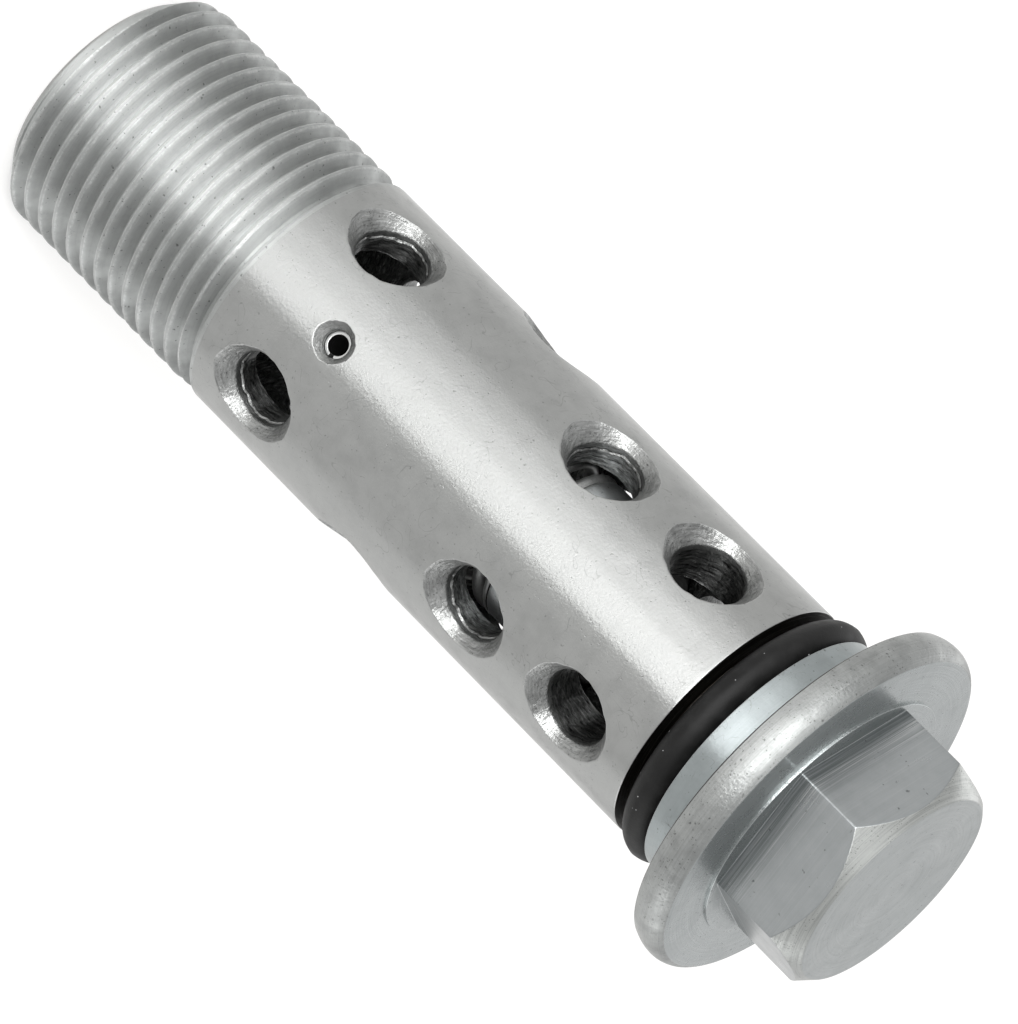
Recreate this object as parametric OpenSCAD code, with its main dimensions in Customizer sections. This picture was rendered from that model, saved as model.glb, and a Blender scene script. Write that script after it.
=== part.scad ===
// Hollow oil filter bolt with a bypass valve inside.
// The bolt stands on its open threaded end, with the hex head up.
// The origin is the centre of the open end, and the bolt's axis is +Z.
// Turns are measured about +Z from the -Y side, which carries the near end of the roll pin.

/* [Shank] */
// Outside diameter of the tube, which is also the thread's major diameter
shank_d = 20; // [19:0.1:21]
// Length from the open end to the underside of the flange
shank_len = 71.2; // [70.4:0.1:76]
// Length of the threaded end, with its chamfer and run-out groove
thread_len = 20.9; // [15:0.1:22]
// Pitch of the thread, which sets the section of the run-out groove
thread_pitch = 1.5; // [0.8:0.1:2]
// Height of the 45 degree chamfer on the open end
lead_h = 1.6; // [0.6:0.1:2]

/* [Bores] */
// Diameter of the main oil bore, open at the threaded end
bore_d = 14; // [12.4:0.2:15]
// Size of the 45 degree chamfer on the mouth of the bore
mouth_chamfer = 0.4; // [0.1:0.05:0.6]
// Height of the flat valve seat, where the main bore ends
seat_z = 53.4; // [52.4:0.1:54.4]
// Width of the seat ring that the plunger covers
seat_w = 0.4; // [0.2:0.05:0.8]
// Length of the narrower upper bore, without its drill point
upper_bore_len = 8.6; // [8.1:0.1:10]
// Angle of the drill point at the blind end
drill_point = 118; // [90:1:140]

/* [Oil holes] */
// Diameter of the drilled oil holes
oil_hole_d = 5.4; // [4:0.1:6]
// Diameter of the countersinks, measured at the tube's surface
countersink_d = 7.5; // [6.4:0.1:8.2]
// Full angle of the countersinks
countersink_angle = 80; // [60:1:100]
// Height of the row of holes nearest the thread
first_row_z = 26.6; // [26:0.1:28]
// Height of the row of holes below the valve seat
second_row_z = 48.4; // [46:0.1:49]
// Height of the row of holes above the valve seat
third_row_z = 58.7; // [57.8:0.1:59.2]
// Number of holes in each of those three rows
holes_per_row = 4; // [3:1:5]
// Turn of the first hole in each row
row_turn = 45; // [35:1:50]

/* [O-ring groove and collar] */
// Diameter of the groove's floor
groove_d = 16; // [15:0.1:17]
// Width of the groove
groove_w = 3.2; // [2.9:0.05:4]
// Thickness of the O-ring
ring_section = 2.6; // [2.2:0.05:2.8]
// Diameter of the collar between the groove and the flange
collar_d = 20.4; // [20:0.1:21]
// Length of the collar
collar_len = 3.2; // [2:0.1:4]

/* [Head] */
// Largest diameter of the flange, at the middle of its rounded rim
flange_d = 28.7; // [26:0.1:32]
// Thickness of the flange at its rim
flange_t = 2.7; // [2:0.1:4]
// Height of the rim's bulge over its two edges
rim_bulge = 0.6; // [0.2:0.05:0.9]
// Rise of the flange's outer face towards the pad
face_rise = 0.15; // [0.05:0.05:0.6]
// Width of the low round pad outside the hex's corners
pad_edge = 0.45; // [0.1:0.05:1]
// Height of the pad
pad_h = 0.2; // [0.1:0.05:0.6]
// Width of the hex across its flats
hex_af = 17; // [14:0.5:19]
// Height of the hex above the pad
hex_h = 6.95; // [5:0.05:10]
// Width of the chamfer at the middle of each flat, seen from the end
end_inset = 0.45; // [0.1:0.05:0.8]
// Angle of the hex's end chamfer from the end face
hex_chamfer_angle = 45; // [20:1:50]
// Turn of the first hex corner
hex_turn = -8; // [-30:1:30]

/* [Roll pin] */
// Height of the pin that carries the spring
pin_z = 29.4; // [28.6:0.1:34]
// Diameter of the pin and of its hole
pin_d = 2; // [1.6:0.1:2.6]
// Wall of the rolled pin
pin_wall = 0.25; // [0.15:0.05:0.4]
// Width of the pin's slot
pin_slot = 0.3; // [0.1:0.05:0.6]
// Depth of the pin's ends below the tube's surface
pin_recess = 1; // [0.7:0.1:1.5]
// Turn of the pin's near end
pin_turn = 3; // [-5:1:10]
// Turn of the slot about the pin
pin_slot_turn = 10; // [0:5:180]
// Diameter of the countersink at each end of the pin's hole
pin_sink_d = 3.2; // [2.8:0.1:4]

/* [Bypass valve] */
// Gap between the plunger and the wall of the main bore, which the oil passes
plunger_gap = 0.85; // [0.6:0.05:1.2]
// Length of the plunger's body below the seat
plunger_len = 6.1; // [5:0.1:8]
// Length of the plunger's pilot in the upper bore
pilot_len = 2; // [1:0.1:2.2]
// Gap between the pilot and the upper bore
pilot_gap = 0.15; // [0.1:0.05:0.4]
// Length of the spigot inside the spring
spigot_len = 1.4; // [0.8:0.1:2.5]
// Gap between the spigot and the spring
spigot_gap = 0.2; // [0.1:0.05:0.4]
// Wall of the hollow spigot
spigot_wall = 1.4; // [1:0.1:2]
// Depth of the hollow inside the plunger, from the end of the spigot
hollow_len = 5.6; // [3:0.1:6.2]
// Wire of the spring
wire_d = 0.9; // [0.7:0.05:1.1]
// Gap between the spring and the wall of the main bore
spring_gap = 0.8; // [0.5:0.05:1]
// Number of free coils, between one closed coil at each end
free_coils = 5; // [4:1:7]

/* [Hidden] */

$fn = 96;
// How far a cutting shape runs past the surface that it cuts
past = 1;

// Heights along the bolt
groove_top_z = shank_len - collar_len;
groove_z = groove_top_z - groove_w;
flange_top_z = shank_len + flange_t;
pad_z = flange_top_z + face_rise;
hex_z = pad_z + pad_h;
side_row_z = (first_row_z + second_row_z) / 2;
row_heights = [first_row_z, second_row_z, third_row_z];

// Radii of the head
corner_r = hex_af / 2 / cos(30);
pad_r = corner_r + pad_edge;
end_face_r = hex_af / 2 - end_inset;

// Thread run-out groove, with the 60 degree flanks and the depth of the thread
runout_depth = 0.6134 * thread_pitch;
runout_floor_w = thread_pitch / 6;
runout_w = runout_floor_w + 2 * runout_depth * tan(30);

// Valve fits
plunger_d = bore_d - 2 * plunger_gap;
upper_bore_d = plunger_d - 2 * seat_w;
pilot_d = upper_bore_d - 2 * pilot_gap;
pilot_chamfer = pilot_len / 3;
spring_seat_z = seat_z - plunger_len;
edge_break = 0.2;
spring_d = bore_d - 2 * spring_gap;
spigot_d = spring_d - 2 * wire_d - 2 * spigot_gap;
hollow_d = spigot_d - 2 * spigot_wall;

// Spring geometry: one closed coil at each end, ground flat, and the free coils between
spring_foot_z = pin_z + pin_d / 2;
spring_len = spring_seat_z - spring_foot_z;
coil_r = (spring_d - wire_d) / 2;
coil_play = 0.05;
closed_pitch = wire_d + coil_play;
free_pitch = (spring_len - 2 * closed_pitch) / free_coils;
coil_count = free_coils + 2;
steps_per_coil = 24;
wire_sides = 8;

// Cone height that a drill or countersink of the given full angle needs for a change of radius
function cone_h(radius, angle) = radius / tan(angle / 2);

// Height of the wire's centre line above the spring's foot after a number of coils
function coil_z(turns) =
    turns < 1 ? turns * closed_pitch
    : turns > 1 + free_coils ? spring_len - (coil_count - turns) * closed_pitch
    : closed_pitch + (turns - 1) * free_pitch;

// Points of the wire's section after a number of coils, ground flat at both ends of the spring
function wire_ring(turns) = [
    for (side = [0:wire_sides - 1])
        let (
            around = side * 360 / wire_sides,
            reach = coil_r + wire_d / 2 * cos(around),
            height = coil_z(turns) + wire_d / 2 * sin(around)
        )
        [
            reach * cos(turns * 360),
            reach * sin(turns * 360),
            spring_foot_z + min(max(height, 0), spring_len)
        ]
];

// Turned outline of everything outside the bores except the flange's rim and the hex
module shank_outline() {
    shank_r = shank_d / 2;
    runout_floor_r = shank_r - runout_depth;
    polygon([
        [0, 0],
        [shank_r - lead_h, 0],
        [shank_r, lead_h],
        [shank_r, thread_len - runout_w],
        [runout_floor_r, thread_len - (runout_w + runout_floor_w) / 2],
        [runout_floor_r, thread_len - (runout_w - runout_floor_w) / 2],
        [shank_r, thread_len],
        [shank_r, groove_z],
        [groove_d / 2, groove_z],
        [groove_d / 2, groove_top_z],
        [collar_d / 2, groove_top_z],
        [collar_d / 2, flange_top_z],
        [0, flange_top_z]
    ]);
}

// Flange with a rounded rim and an outer face that rises to the pad
module flange() {
    rim_r = (pow(flange_t / 2, 2) + pow(rim_bulge, 2)) / (2 * rim_bulge);
    edge_r = flange_d / 2 - rim_bulge;
    translate([0, 0, shank_len]) {
        cylinder(r = edge_r, h = flange_t);
        rotate_extrude()
            intersection() {
                translate([flange_d / 2 - rim_r, flange_t / 2]) circle(r = rim_r);
                translate([edge_r - rim_bulge, 0]) square([2 * rim_bulge, flange_t]);
            }
    }
    translate([0, 0, flange_top_z]) cylinder(r1 = edge_r, r2 = pad_r, h = face_rise);
    translate([0, 0, pad_z]) cylinder(r = pad_r, h = pad_h);
}

// Hex with its corners turned off in a chamfer round the end face
module hex() {
    chamfer_h = (corner_r - end_face_r) * tan(hex_chamfer_angle);
    translate([0, 0, hex_z])
        intersection() {
            rotate([0, 0, hex_turn - 90]) cylinder(r = corner_r, h = hex_h, $fn = 6);
            union() {
                cylinder(r = corner_r + past, h = hex_h - chamfer_h);
                translate([0, 0, hex_h - chamfer_h])
                    cylinder(r1 = corner_r, r2 = end_face_r, h = chamfer_h);
            }
        }
}

// Main bore with its mouth chamfer, the flat valve seat, and the blind upper bore
module bores() {
    translate([0, 0, -past]) cylinder(d = bore_d, h = seat_z + past);
    translate([0, 0, -past])
        cylinder(d1 = bore_d + 2 * (mouth_chamfer + past), d2 = bore_d, h = mouth_chamfer + past);
    translate([0, 0, seat_z - past]) cylinder(d = upper_bore_d, h = upper_bore_len + past);
    translate([0, 0, seat_z + upper_bore_len])
        cylinder(d1 = upper_bore_d, d2 = 0, h = cone_h(upper_bore_d / 2, drill_point));
}

// Points a shape's +Z axis outwards through the tube's wall, at a turn and a height
module outwards(turn, z) {
    translate([0, 0, z]) rotate([90, 0, turn]) children();
}

// Countersink whose diameter is measured at the tube's surface
module countersink(hole_d, sink_d, angle) {
    sink_h = cone_h((sink_d - hole_d) / 2, angle);
    spread = 2 * past * tan(angle / 2);
    translate([0, 0, shank_d / 2 - sink_h])
        cylinder(d1 = hole_d, d2 = sink_d + spread, h = sink_h + past);
}

// One oil hole, drilled through one wall and countersunk
module oil_hole(turn, z) {
    outwards(turn, z) {
        cylinder(d = oil_hole_d, h = shank_d / 2 + past);
        countersink(oil_hole_d, countersink_d, countersink_angle);
    }
}

// Three rows of oil holes, and the pair of side holes midway between the lower two rows
module oil_holes() {
    for (z = row_heights, i = [0:holes_per_row - 1])
        oil_hole(row_turn + i * 360 / holes_per_row, z);
    for (turn = [-90, 90])
        oil_hole(turn, side_row_z);
}

// Hole for the roll pin, drilled right across and countersunk at both ends
module pin_hole() {
    for (turn = [pin_turn, pin_turn + 180])
        outwards(turn, pin_z) countersink(pin_d, pin_sink_d, 90);
    outwards(pin_turn, pin_z) cylinder(d = pin_d, h = shank_d + 2 * past, center = true);
}

module bolt_body() {
    color("lightsteelblue")
        difference() {
            union() {
                rotate_extrude() shank_outline();
                flange();
                hex();
            }
            bores();
            oil_holes();
            pin_hole();
        }
}

// Rubber ring on the groove's floor, against the collar
module o_ring() {
    color([0.09, 0.09, 0.1])
        translate([0, 0, groove_top_z - ring_section / 2])
            rotate_extrude()
                translate([(groove_d + ring_section) / 2, 0]) circle(d = ring_section, $fn = 32);
}

// Rolled spring pin, open along one side, with tapered ends
module roll_pin() {
    pin_len = shank_d - 2 * pin_recess;
    slot_angle = 2 * asin(pin_slot / (pin_d - pin_wall));
    pin_r = pin_d / 2;
    taper = pin_wall / 2;
    color("silver")
        outwards(pin_turn, pin_z)
            translate([0, 0, -pin_len / 2])
                rotate([0, 0, pin_slot_turn + slot_angle / 2])
                    rotate_extrude(angle = 360 - slot_angle)
                        polygon([
                            [pin_r - pin_wall, 0],
                            [pin_r - taper, 0],
                            [pin_r, 2 * taper],
                            [pin_r, pin_len - 2 * taper],
                            [pin_r - taper, pin_len],
                            [pin_r - pin_wall, pin_len]
                        ]);
}

// Turned plunger: pilot in the upper bore, flat shoulder on the seat, hollow spigot in the spring
module bypass_plunger() {
    plunger_r = plunger_d / 2;
    pilot_r = pilot_d / 2;
    spigot_r = spigot_d / 2;
    spigot_z = spring_seat_z - spigot_len;
    hollow_z = spigot_z + hollow_len;
    color("gainsboro")
        rotate_extrude()
            polygon([
                [0, hollow_z + cone_h(hollow_d / 2, drill_point)],
                [hollow_d / 2, hollow_z],
                [hollow_d / 2, spigot_z],
                [spigot_r - edge_break, spigot_z],
                [spigot_r, spigot_z + edge_break],
                [spigot_r, spring_seat_z],
                [plunger_r - edge_break, spring_seat_z],
                [plunger_r, spring_seat_z + edge_break],
                [plunger_r, seat_z],
                [pilot_r, seat_z],
                [pilot_r, seat_z + pilot_len - pilot_chamfer],
                [pilot_r - pilot_chamfer, seat_z + pilot_len],
                [0, seat_z + pilot_len]
            ]);
}

// Right-hand coil spring, standing on the roll pin and pressing on the plunger
module bypass_spring() {
    steps = coil_count * steps_per_coil;
    points = [for (i = [0:steps]) each wire_ring(i / steps_per_coil)];
    sides = [
        for (i = [0:steps - 1], side = [0:wire_sides - 1])
            let (
                next = (side + 1) % wire_sides,
                near = i * wire_sides,
                far = near + wire_sides
            )
            each [[near + side, far + side, far + next], [near + side, far + next, near + next]]
    ];
    top = wire_sides / 4;
    start_cap = [
        for (i = [1:wire_sides - 2])
            [top, (top + i) % wire_sides, (top + i + 1) % wire_sides]
    ];
    last = steps * wire_sides;
    low = 3 * top;
    end_cap = [
        for (i = [1:wire_sides - 2])
            [last + low, last + (low + i + 1) % wire_sides, last + (low + i) % wire_sides]
    ];
    color("darkgray")
        polyhedron(points = points, faces = concat(start_cap, sides, end_cap), convexity = 10);
}

bolt_body();
o_ring();
roll_pin();
bypass_plunger();
bypass_spring();
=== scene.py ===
"""Looks of the hollow oil filter bolt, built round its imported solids.

The bolt stands on its open threaded end with the hex head up, and its axis is +Z. Shapes are worked
out in millimetres and become metres when a mesh is made. A turn is an angle about +Z that starts at
the -Y side, which carries the near end of the roll pin, and grows towards +X.
"""

import logging
import math
from dataclasses import dataclass, field
from enum import Enum
from functools import partial

import bmesh
import bpy
import numpy as np
from mathutils import Matrix, Vector
from mathutils.kdtree import KDTree


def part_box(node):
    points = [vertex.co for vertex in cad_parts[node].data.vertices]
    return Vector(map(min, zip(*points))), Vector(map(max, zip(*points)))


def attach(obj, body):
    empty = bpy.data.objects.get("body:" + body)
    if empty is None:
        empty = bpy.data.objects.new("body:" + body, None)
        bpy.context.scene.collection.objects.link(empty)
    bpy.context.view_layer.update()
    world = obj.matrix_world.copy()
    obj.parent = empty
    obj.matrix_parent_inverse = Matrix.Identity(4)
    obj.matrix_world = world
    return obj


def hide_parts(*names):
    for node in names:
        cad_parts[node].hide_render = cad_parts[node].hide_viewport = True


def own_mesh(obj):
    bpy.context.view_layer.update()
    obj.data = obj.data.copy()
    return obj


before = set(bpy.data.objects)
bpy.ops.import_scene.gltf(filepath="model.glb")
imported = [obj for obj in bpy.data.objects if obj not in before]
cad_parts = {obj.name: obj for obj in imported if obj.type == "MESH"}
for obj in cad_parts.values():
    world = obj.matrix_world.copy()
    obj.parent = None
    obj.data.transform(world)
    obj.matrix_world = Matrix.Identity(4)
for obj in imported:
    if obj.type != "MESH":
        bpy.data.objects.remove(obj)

LOG = logging.getLogger("bolt")
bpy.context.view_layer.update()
MM = 0.001
PER_METRE = 1000.0
FULL_TURN = 2 * math.pi
# Columns round the bolt: a whole number for each flat of the hex and for each oil hole of a row
COLUMNS = 144
COLUMN_STEP = FULL_TURN / COLUMNS
SHARP_ANGLE = math.radians(32)
# Half the point angle of a 118 degree drill
DRILL_HALF_ANGLE = math.radians(59)
PIN_TURN = math.radians(3)
# Size in millimetres, waves round the hole and start of each wave in a drilled hole's ragged edges
RAGGED_EDGE = ((0.035, 4, 1.0), (0.03, 9, 2.3), (0.025, 15, 0.4), (0.02, 22, 4.1))
# The flange's rim: distance in from its widest point, height over its foot and rounding of each corner
RIM_PROFILE = (
    (0.5, 0.0, 0.06), (0.3, 0.14, 0.06), (0.08, 0.75, 0.2), (0.0, 1.3, 0.25), (0.05, 1.85, 0.25),
    (0.3, 2.4, 0.25),
)
WELD_DISTANCE = 2e-6
MARKS = "machining"
WEAR = "edge_wear"
NEAR_EDGE = "near_edge"
EDGE_REACH = 0.9 * MM
# Bend, in radians, at which an edge's plate starts to wear, and the further bend that bares it
WEAR_START = 0.12
WEAR_SPAN = 0.3
# Wear from which an edge gathers specks beside it
WORN_EDGE = 0.3
# Largest share of a stretch that one corner's rounding takes up, and the segments of a rounding
MOST_ROUNDING = 0.45
ROUNDING_STEPS = 4
# Rounds after which the line where a countersink meets the tube no longer moves
SETTLING_ROUNDS = 30
# Blender's names for the kinds of node that the trees add most
MATH = "ShaderNodeMath"
VECTOR_MATH = "ShaderNodeVectorMath"
MAP_RANGE = "ShaderNodeMapRange"
NOISE = "ShaderNodeTexNoise"
COMBINE = "ShaderNodeCombineXYZ"
SEPARATE = "ShaderNodeSeparateXYZ"
MIX = "ShaderNodeMix"


class Surface(Enum):
    """Surfaces of the bolt's body, each with a finish of its own."""

    TUBE = 0
    THREAD = 1
    COUNTERSINK = 2
    DRILLED = 3
    # Old oil, plus painted shade in the groove and on the foot of the flange's rim
    GROOVE_AND_PAINTED_SHADE = 4
    COLLAR = 5
    RIM = 6
    FLANGE_FACE = 7
    HEX = 8
    CHAMFER = 9
    END_FACE = 10
    OPEN_END = 11


class Marks(Enum):
    """Which way a tool went over a surface, so that its marks run round the same axis."""

    HEIGHT = "rings round the bolt, stacked along its height"
    PATH = "rings stacked along the profile of the cut"
    RADIUS = "rings round the bolt's axis, one inside the other"


def linear(hex_colour: str) -> tuple[float, float, float, float]:
    """Turn an sRGB hex colour into linear values.

    Args:
        hex_colour: Colour such as "#C0C2C1".

    Returns:
        Red, green, blue and an alpha of 1.
    """
    parts = [int(hex_colour[i : i + 2], 16) / 255 for i in (1, 3, 5)]
    low = [p / 12.92 if p <= 0.04045 else ((p + 0.055) / 1.055) ** 2.4 for p in parts]
    return (low[0], low[1], low[2], 1.0)


def add_node(
    tree: bpy.types.NodeTree, kind: str, *values: object, out: int | str | None = 0,
    named: dict | None = None, **settings: object,
) -> bpy.types.NodeSocket | bpy.types.bpy_prop_collection:
    """Add a node with its settings, values and links.

    Args:
        tree: Node tree that gets the node.
        kind: Blender's name for the node's type.
        *values: Values of its first inputs, or the sockets that are linked to them.
        out: Output that is handed back, or None for all of them.
        named: Further inputs, by name or index.
        **settings: Properties of the node itself.

    Returns:
        The output, or all outputs.
    """
    node = tree.nodes.new(kind)
    for name, value in settings.items():
        setattr(node, name, value)
    for key, value in [*enumerate(values), *(named or {}).items()]:
        if isinstance(value, bpy.types.NodeSocket):
            tree.links.new(value, node.inputs[key])
        else:
            node.inputs[key].default_value = value
    return node.outputs if out is None else node.outputs[out]


def millimetres(tree: bpy.types.NodeTree) -> bpy.types.NodeSocket:
    """Object coordinates in millimetres, on which the patterns of a finish lie."""
    where = add_node(tree, "ShaderNodeTexCoord", out="Object")
    return add_node(tree, VECTOR_MATH, where, named={"Scale": PER_METRE}, operation="SCALE")


def new_material(name: str) -> tuple[bpy.types.Material, bpy.types.NodeTree]:
    """Make an empty node material.

    Args:
        name: Name of the material.

    Returns:
        The material and its node tree.
    """
    material = bpy.data.materials.new(name)
    material.use_nodes = True
    material.node_tree.nodes.clear()
    return material, material.node_tree


def new_shape_tree(
    name: str, inputs: dict[str, str],
) -> tuple[bpy.types.NodeTree, bpy.types.bpy_prop_collection]:
    """Start a geometry node tree with named inputs.

    Args:
        name: Name of the tree.
        inputs: Input name to its socket type, without the "NodeSocket" in front.

    Returns:
        The tree and the sockets of its inputs.
    """
    tree = bpy.data.node_groups.new(name, "GeometryNodeTree")
    tree.interface.new_socket("Geometry", in_out="INPUT", socket_type="NodeSocketGeometry")
    for label, kind in inputs.items():
        tree.interface.new_socket(label, in_out="INPUT", socket_type="NodeSocket" + kind)
    tree.interface.new_socket("Geometry", in_out="OUTPUT", socket_type="NodeSocketGeometry")
    return tree, add_node(tree, "NodeGroupInput", out=None)


def run_tree(
    tree: bpy.types.NodeTree, values: dict[str, object], stock: bpy.types.Mesh | None = None,
) -> bpy.types.Mesh:
    """Evaluate a geometry node tree on a mesh.

    Args:
        tree: Tree to evaluate.
        values: Input name to its value.
        stock: Mesh that the tree works on, or None for a tree that makes its own.

    Returns:
        The result as a plain mesh.
    """
    obj = bpy.data.objects.new("stock", stock or bpy.data.meshes.new("stock"))
    bpy.context.scene.collection.objects.link(obj)
    modifier = obj.modifiers.new("shape", "NODES")
    modifier.node_group = tree
    for item in tree.interface.items_tree:
        if item.in_out == "INPUT" and item.name in values:
            modifier[item.identifier] = values[item.name]
    graph = bpy.context.evaluated_depsgraph_get()
    graph.update()
    mesh = bpy.data.meshes.new_from_object(obj.evaluated_get(graph))
    obj.modifiers.remove(modifier)
    bpy.data.objects.remove(obj)
    return mesh


def ring(radius: float, height: float, turns: np.ndarray) -> np.ndarray:
    """Points on a circle round the bolt's axis.

    Args:
        radius: Radius in millimetres.
        height: Height in millimetres.
        turns: Turn of each point.

    Returns:
        One point for each turn.
    """
    level = np.full_like(turns, height)
    return np.stack([radius * np.sin(turns), -radius * np.cos(turns), level], axis=-1)


def rounded_rows(
    controls: list[np.ndarray], roundings: list[float], steps: int = ROUNDING_STEPS,
) -> np.ndarray:
    """Turn rows of corner points into rows of points whose corners are rounded.

    Args:
        controls: Rows of corner points, all of one length, in the order of the section.
        roundings: Distance from each corner at which its rounding starts; 0 leaves it sharp.
        steps: Segments in each rounding.

    Returns:
        Rows of points, in an array of rows by points by 3.
    """
    rows = []
    for i, (corner, rounding) in enumerate(zip(controls, roundings)):
        if rounding == 0 or i in (0, len(controls) - 1):
            rows.append(corner)
            continue
        ends = []
        for other in (controls[i - 1], controls[i + 1]):
            away = other - corner
            length = np.maximum(np.linalg.norm(away, axis=-1, keepdims=True), 1e-9)
            ends.append(corner + away * np.minimum(rounding / length, MOST_ROUNDING))
        for t in np.linspace(0, 1, steps + 1):
            rows.append((1 - t) ** 2 * ends[0] + 2 * t * (1 - t) * corner + t**2 * ends[1])
    return np.stack(rows)


def turned_rows(profile: list[tuple[float, float, float]], turns: np.ndarray) -> np.ndarray:
    """Turn a profile round the bolt's axis.

    Args:
        profile: Radius, height and rounding of each corner.
        turns: Turn of each column.

    Returns:
        Rows of points, in an array of rows by columns by 3.
    """
    controls = [ring(radius, height, turns) for radius, height, _ in profile]
    return rounded_rows(controls, [rounding for _, _, rounding in profile])


def section_slots(roundings: list[float], stretches: list[int]) -> list[int]:
    """Work out the material slot of each row of faces of a rounded section.

    Args:
        roundings: Rounding of each corner.
        stretches: Slot of each stretch between two corners.

    Returns:
        One slot for each row of faces.
    """
    half = ROUNDING_STEPS // 2
    slots = [stretches[0]]
    for rounding, before, after in zip(roundings[1:-1], stretches, stretches[1:]):
        if rounding:
            slots += [before] * half + [after] * (ROUNDING_STEPS - half)
        slots.append(after)
    return slots


def whole_turn(columns: int = COLUMNS) -> np.ndarray:
    """Turns of the columns all the way round, with the first one repeated at the end."""
    return np.linspace(0, FULL_TURN, columns + 1)


@dataclass
class Skin:
    """A closed surface under construction, gathered from grids of points in millimetres."""

    name: str
    points: list[np.ndarray] = field(default_factory=list)
    faces: list[list[int]] = field(default_factory=list)
    marks: list[tuple[float, float]] = field(default_factory=list)
    slots: list[int] = field(default_factory=list)
    count: int = 0

    def add_points(self, points: np.ndarray) -> int:
        """Add loose points.

        Args:
            points: Array whose last axis is a point.

        Returns:
            Index of the first new point.
        """
        first = self.count
        flat = points.reshape(-1, 3)
        self.points.append(flat)
        self.count += len(flat)
        return first

    def add_grid(
        self, grid: np.ndarray, slots: int | list[int], left_out: np.ndarray | None = None,
    ) -> None:
        """Add a grid of faces.

        Args:
            grid: Points in an array of rows by columns by 3.
            slots: Material slot of all faces, or of each row of faces.
            left_out: True for each face, by row and column, that is left out.
        """
        first = self.add_points(grid)
        rows, columns = grid.shape[:2]
        steps = np.linalg.norm(np.diff(grid, axis=0), axis=-1).mean(axis=1)
        path = np.concatenate([[0.0], np.cumsum(steps)])
        around = np.linspace(0, 1, columns)
        for j in range(rows - 1):
            slot = slots if isinstance(slots, int) else slots[j]
            for i in range(columns - 1):
                if left_out is not None and left_out[j, i]:
                    continue
                near = first + j * columns + i
                far = near + columns
                self.faces.append([near, near + 1, far + 1, far])
                self.slots.append(slot)
                for row, column in ((j, i), (j, i + 1), (j + 1, i + 1), (j + 1, i)):
                    self.marks.append((path[row], around[column]))

    def add_outline(self, outline: np.ndarray, slot: int) -> None:
        """Add one flat face.

        Args:
            outline: Points round the face.
            slot: Material slot of the face.
        """
        first = self.add_points(outline)
        self.faces.append(list(range(first, first + len(outline))))
        self.slots.append(slot)
        self.marks.extend([(0.0, 0.0)] * len(outline))

    def absorb(self, mesh: bpy.types.Mesh, materials: list[bpy.types.Material]) -> None:
        """Add a mesh, which is in metres, and remove it.

        Args:
            mesh: Mesh to add.
            materials: Materials of this skin, in the order of its slots.
        """
        flat = np.empty(len(mesh.vertices) * 3)
        mesh.vertices.foreach_get("co", flat)
        first = self.add_points(flat.reshape(-1, 3) * PER_METRE)
        layer = mesh.attributes[MARKS]
        uv = np.empty(len(mesh.loops) * 2)
        layer.data.foreach_get("vector", uv)
        uv = uv.reshape(-1, 2)
        order = [materials.index(m) if m in materials else 0 for m in mesh.materials]
        for polygon in mesh.polygons:
            self.faces.append([first + i for i in polygon.vertices])
            self.slots.append(order[polygon.material_index])
            for loop in polygon.loop_indices:
                self.marks.append((uv[loop][0], uv[loop][1]))
        bpy.data.meshes.remove(mesh)

    def mesh(self, materials: list[bpy.types.Material]) -> bpy.types.Mesh:
        """Make the mesh as it is, unwelded.

        Args:
            materials: Material of each slot.

        Returns:
            A mesh in metres.
        """
        mesh = bpy.data.meshes.new(self.name)
        mesh.from_pydata(np.concatenate(self.points) * MM, [], self.faces)
        for material in materials:
            mesh.materials.append(material)
        mesh.polygons.foreach_set("material_index", self.slots)
        layer = mesh.uv_layers.new(name=MARKS)
        layer.data.foreach_set("uv", np.array(self.marks, dtype=np.float32).ravel())
        return mesh

    def build(self, materials: list[bpy.types.Material]) -> bpy.types.Object:
        """Weld the grids into one closed piece and put it in the scene.

        Args:
            materials: Material of each slot.

        Returns:
            The piece, at the origin, unturned and unscaled.
        """
        return place(self.name, welded(self.mesh(materials)))


def welded(mesh: bpy.types.Mesh) -> bpy.types.Mesh:
    """Join a mesh's doubled points, turn its faces outwards and mark its edges for wear.

    Args:
        mesh: Mesh of one or more closed surfaces.

    Returns:
        The same mesh, shaded smooth between its sharp edges.
    """
    shape = bmesh.new()
    shape.from_mesh(mesh)
    bmesh.ops.remove_doubles(shape, verts=shape.verts, dist=WELD_DISTANCE)
    bmesh.ops.dissolve_degenerate(shape, dist=WELD_DISTANCE / 2, edges=shape.edges)
    bmesh.ops.recalc_face_normals(shape, faces=shape.faces)
    open_edges = sum(not edge.is_manifold for edge in shape.edges)
    if open_edges:
        LOG.warning("%s has %d open edges", mesh.name, open_edges)
    layer = shape.verts.layers.float.new(WEAR)
    near = shape.verts.layers.float.new(NEAR_EDGE)
    edges = KDTree(len(shape.verts))
    for vert in shape.verts:
        bends = [edge.calc_face_angle_signed(0.0) for edge in vert.link_edges]
        vert[layer] = min(1.0, max(0.0, (max(bends, default=0.0) - WEAR_START) / WEAR_SPAN))
        if vert[layer] > WORN_EDGE:
            edges.insert(vert.co, vert.index)
    edges.balance()
    for vert in shape.verts:
        away = edges.find(vert.co)[2]
        vert[near] = 0.0 if away is None else max(0.0, 1.0 - away / EDGE_REACH)
    shape.to_mesh(mesh)
    shape.free()
    mesh.polygons.foreach_set("use_smooth", [True] * len(mesh.polygons))
    mesh.set_sharp_from_angle(angle=SHARP_ANGLE)
    return mesh


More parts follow.
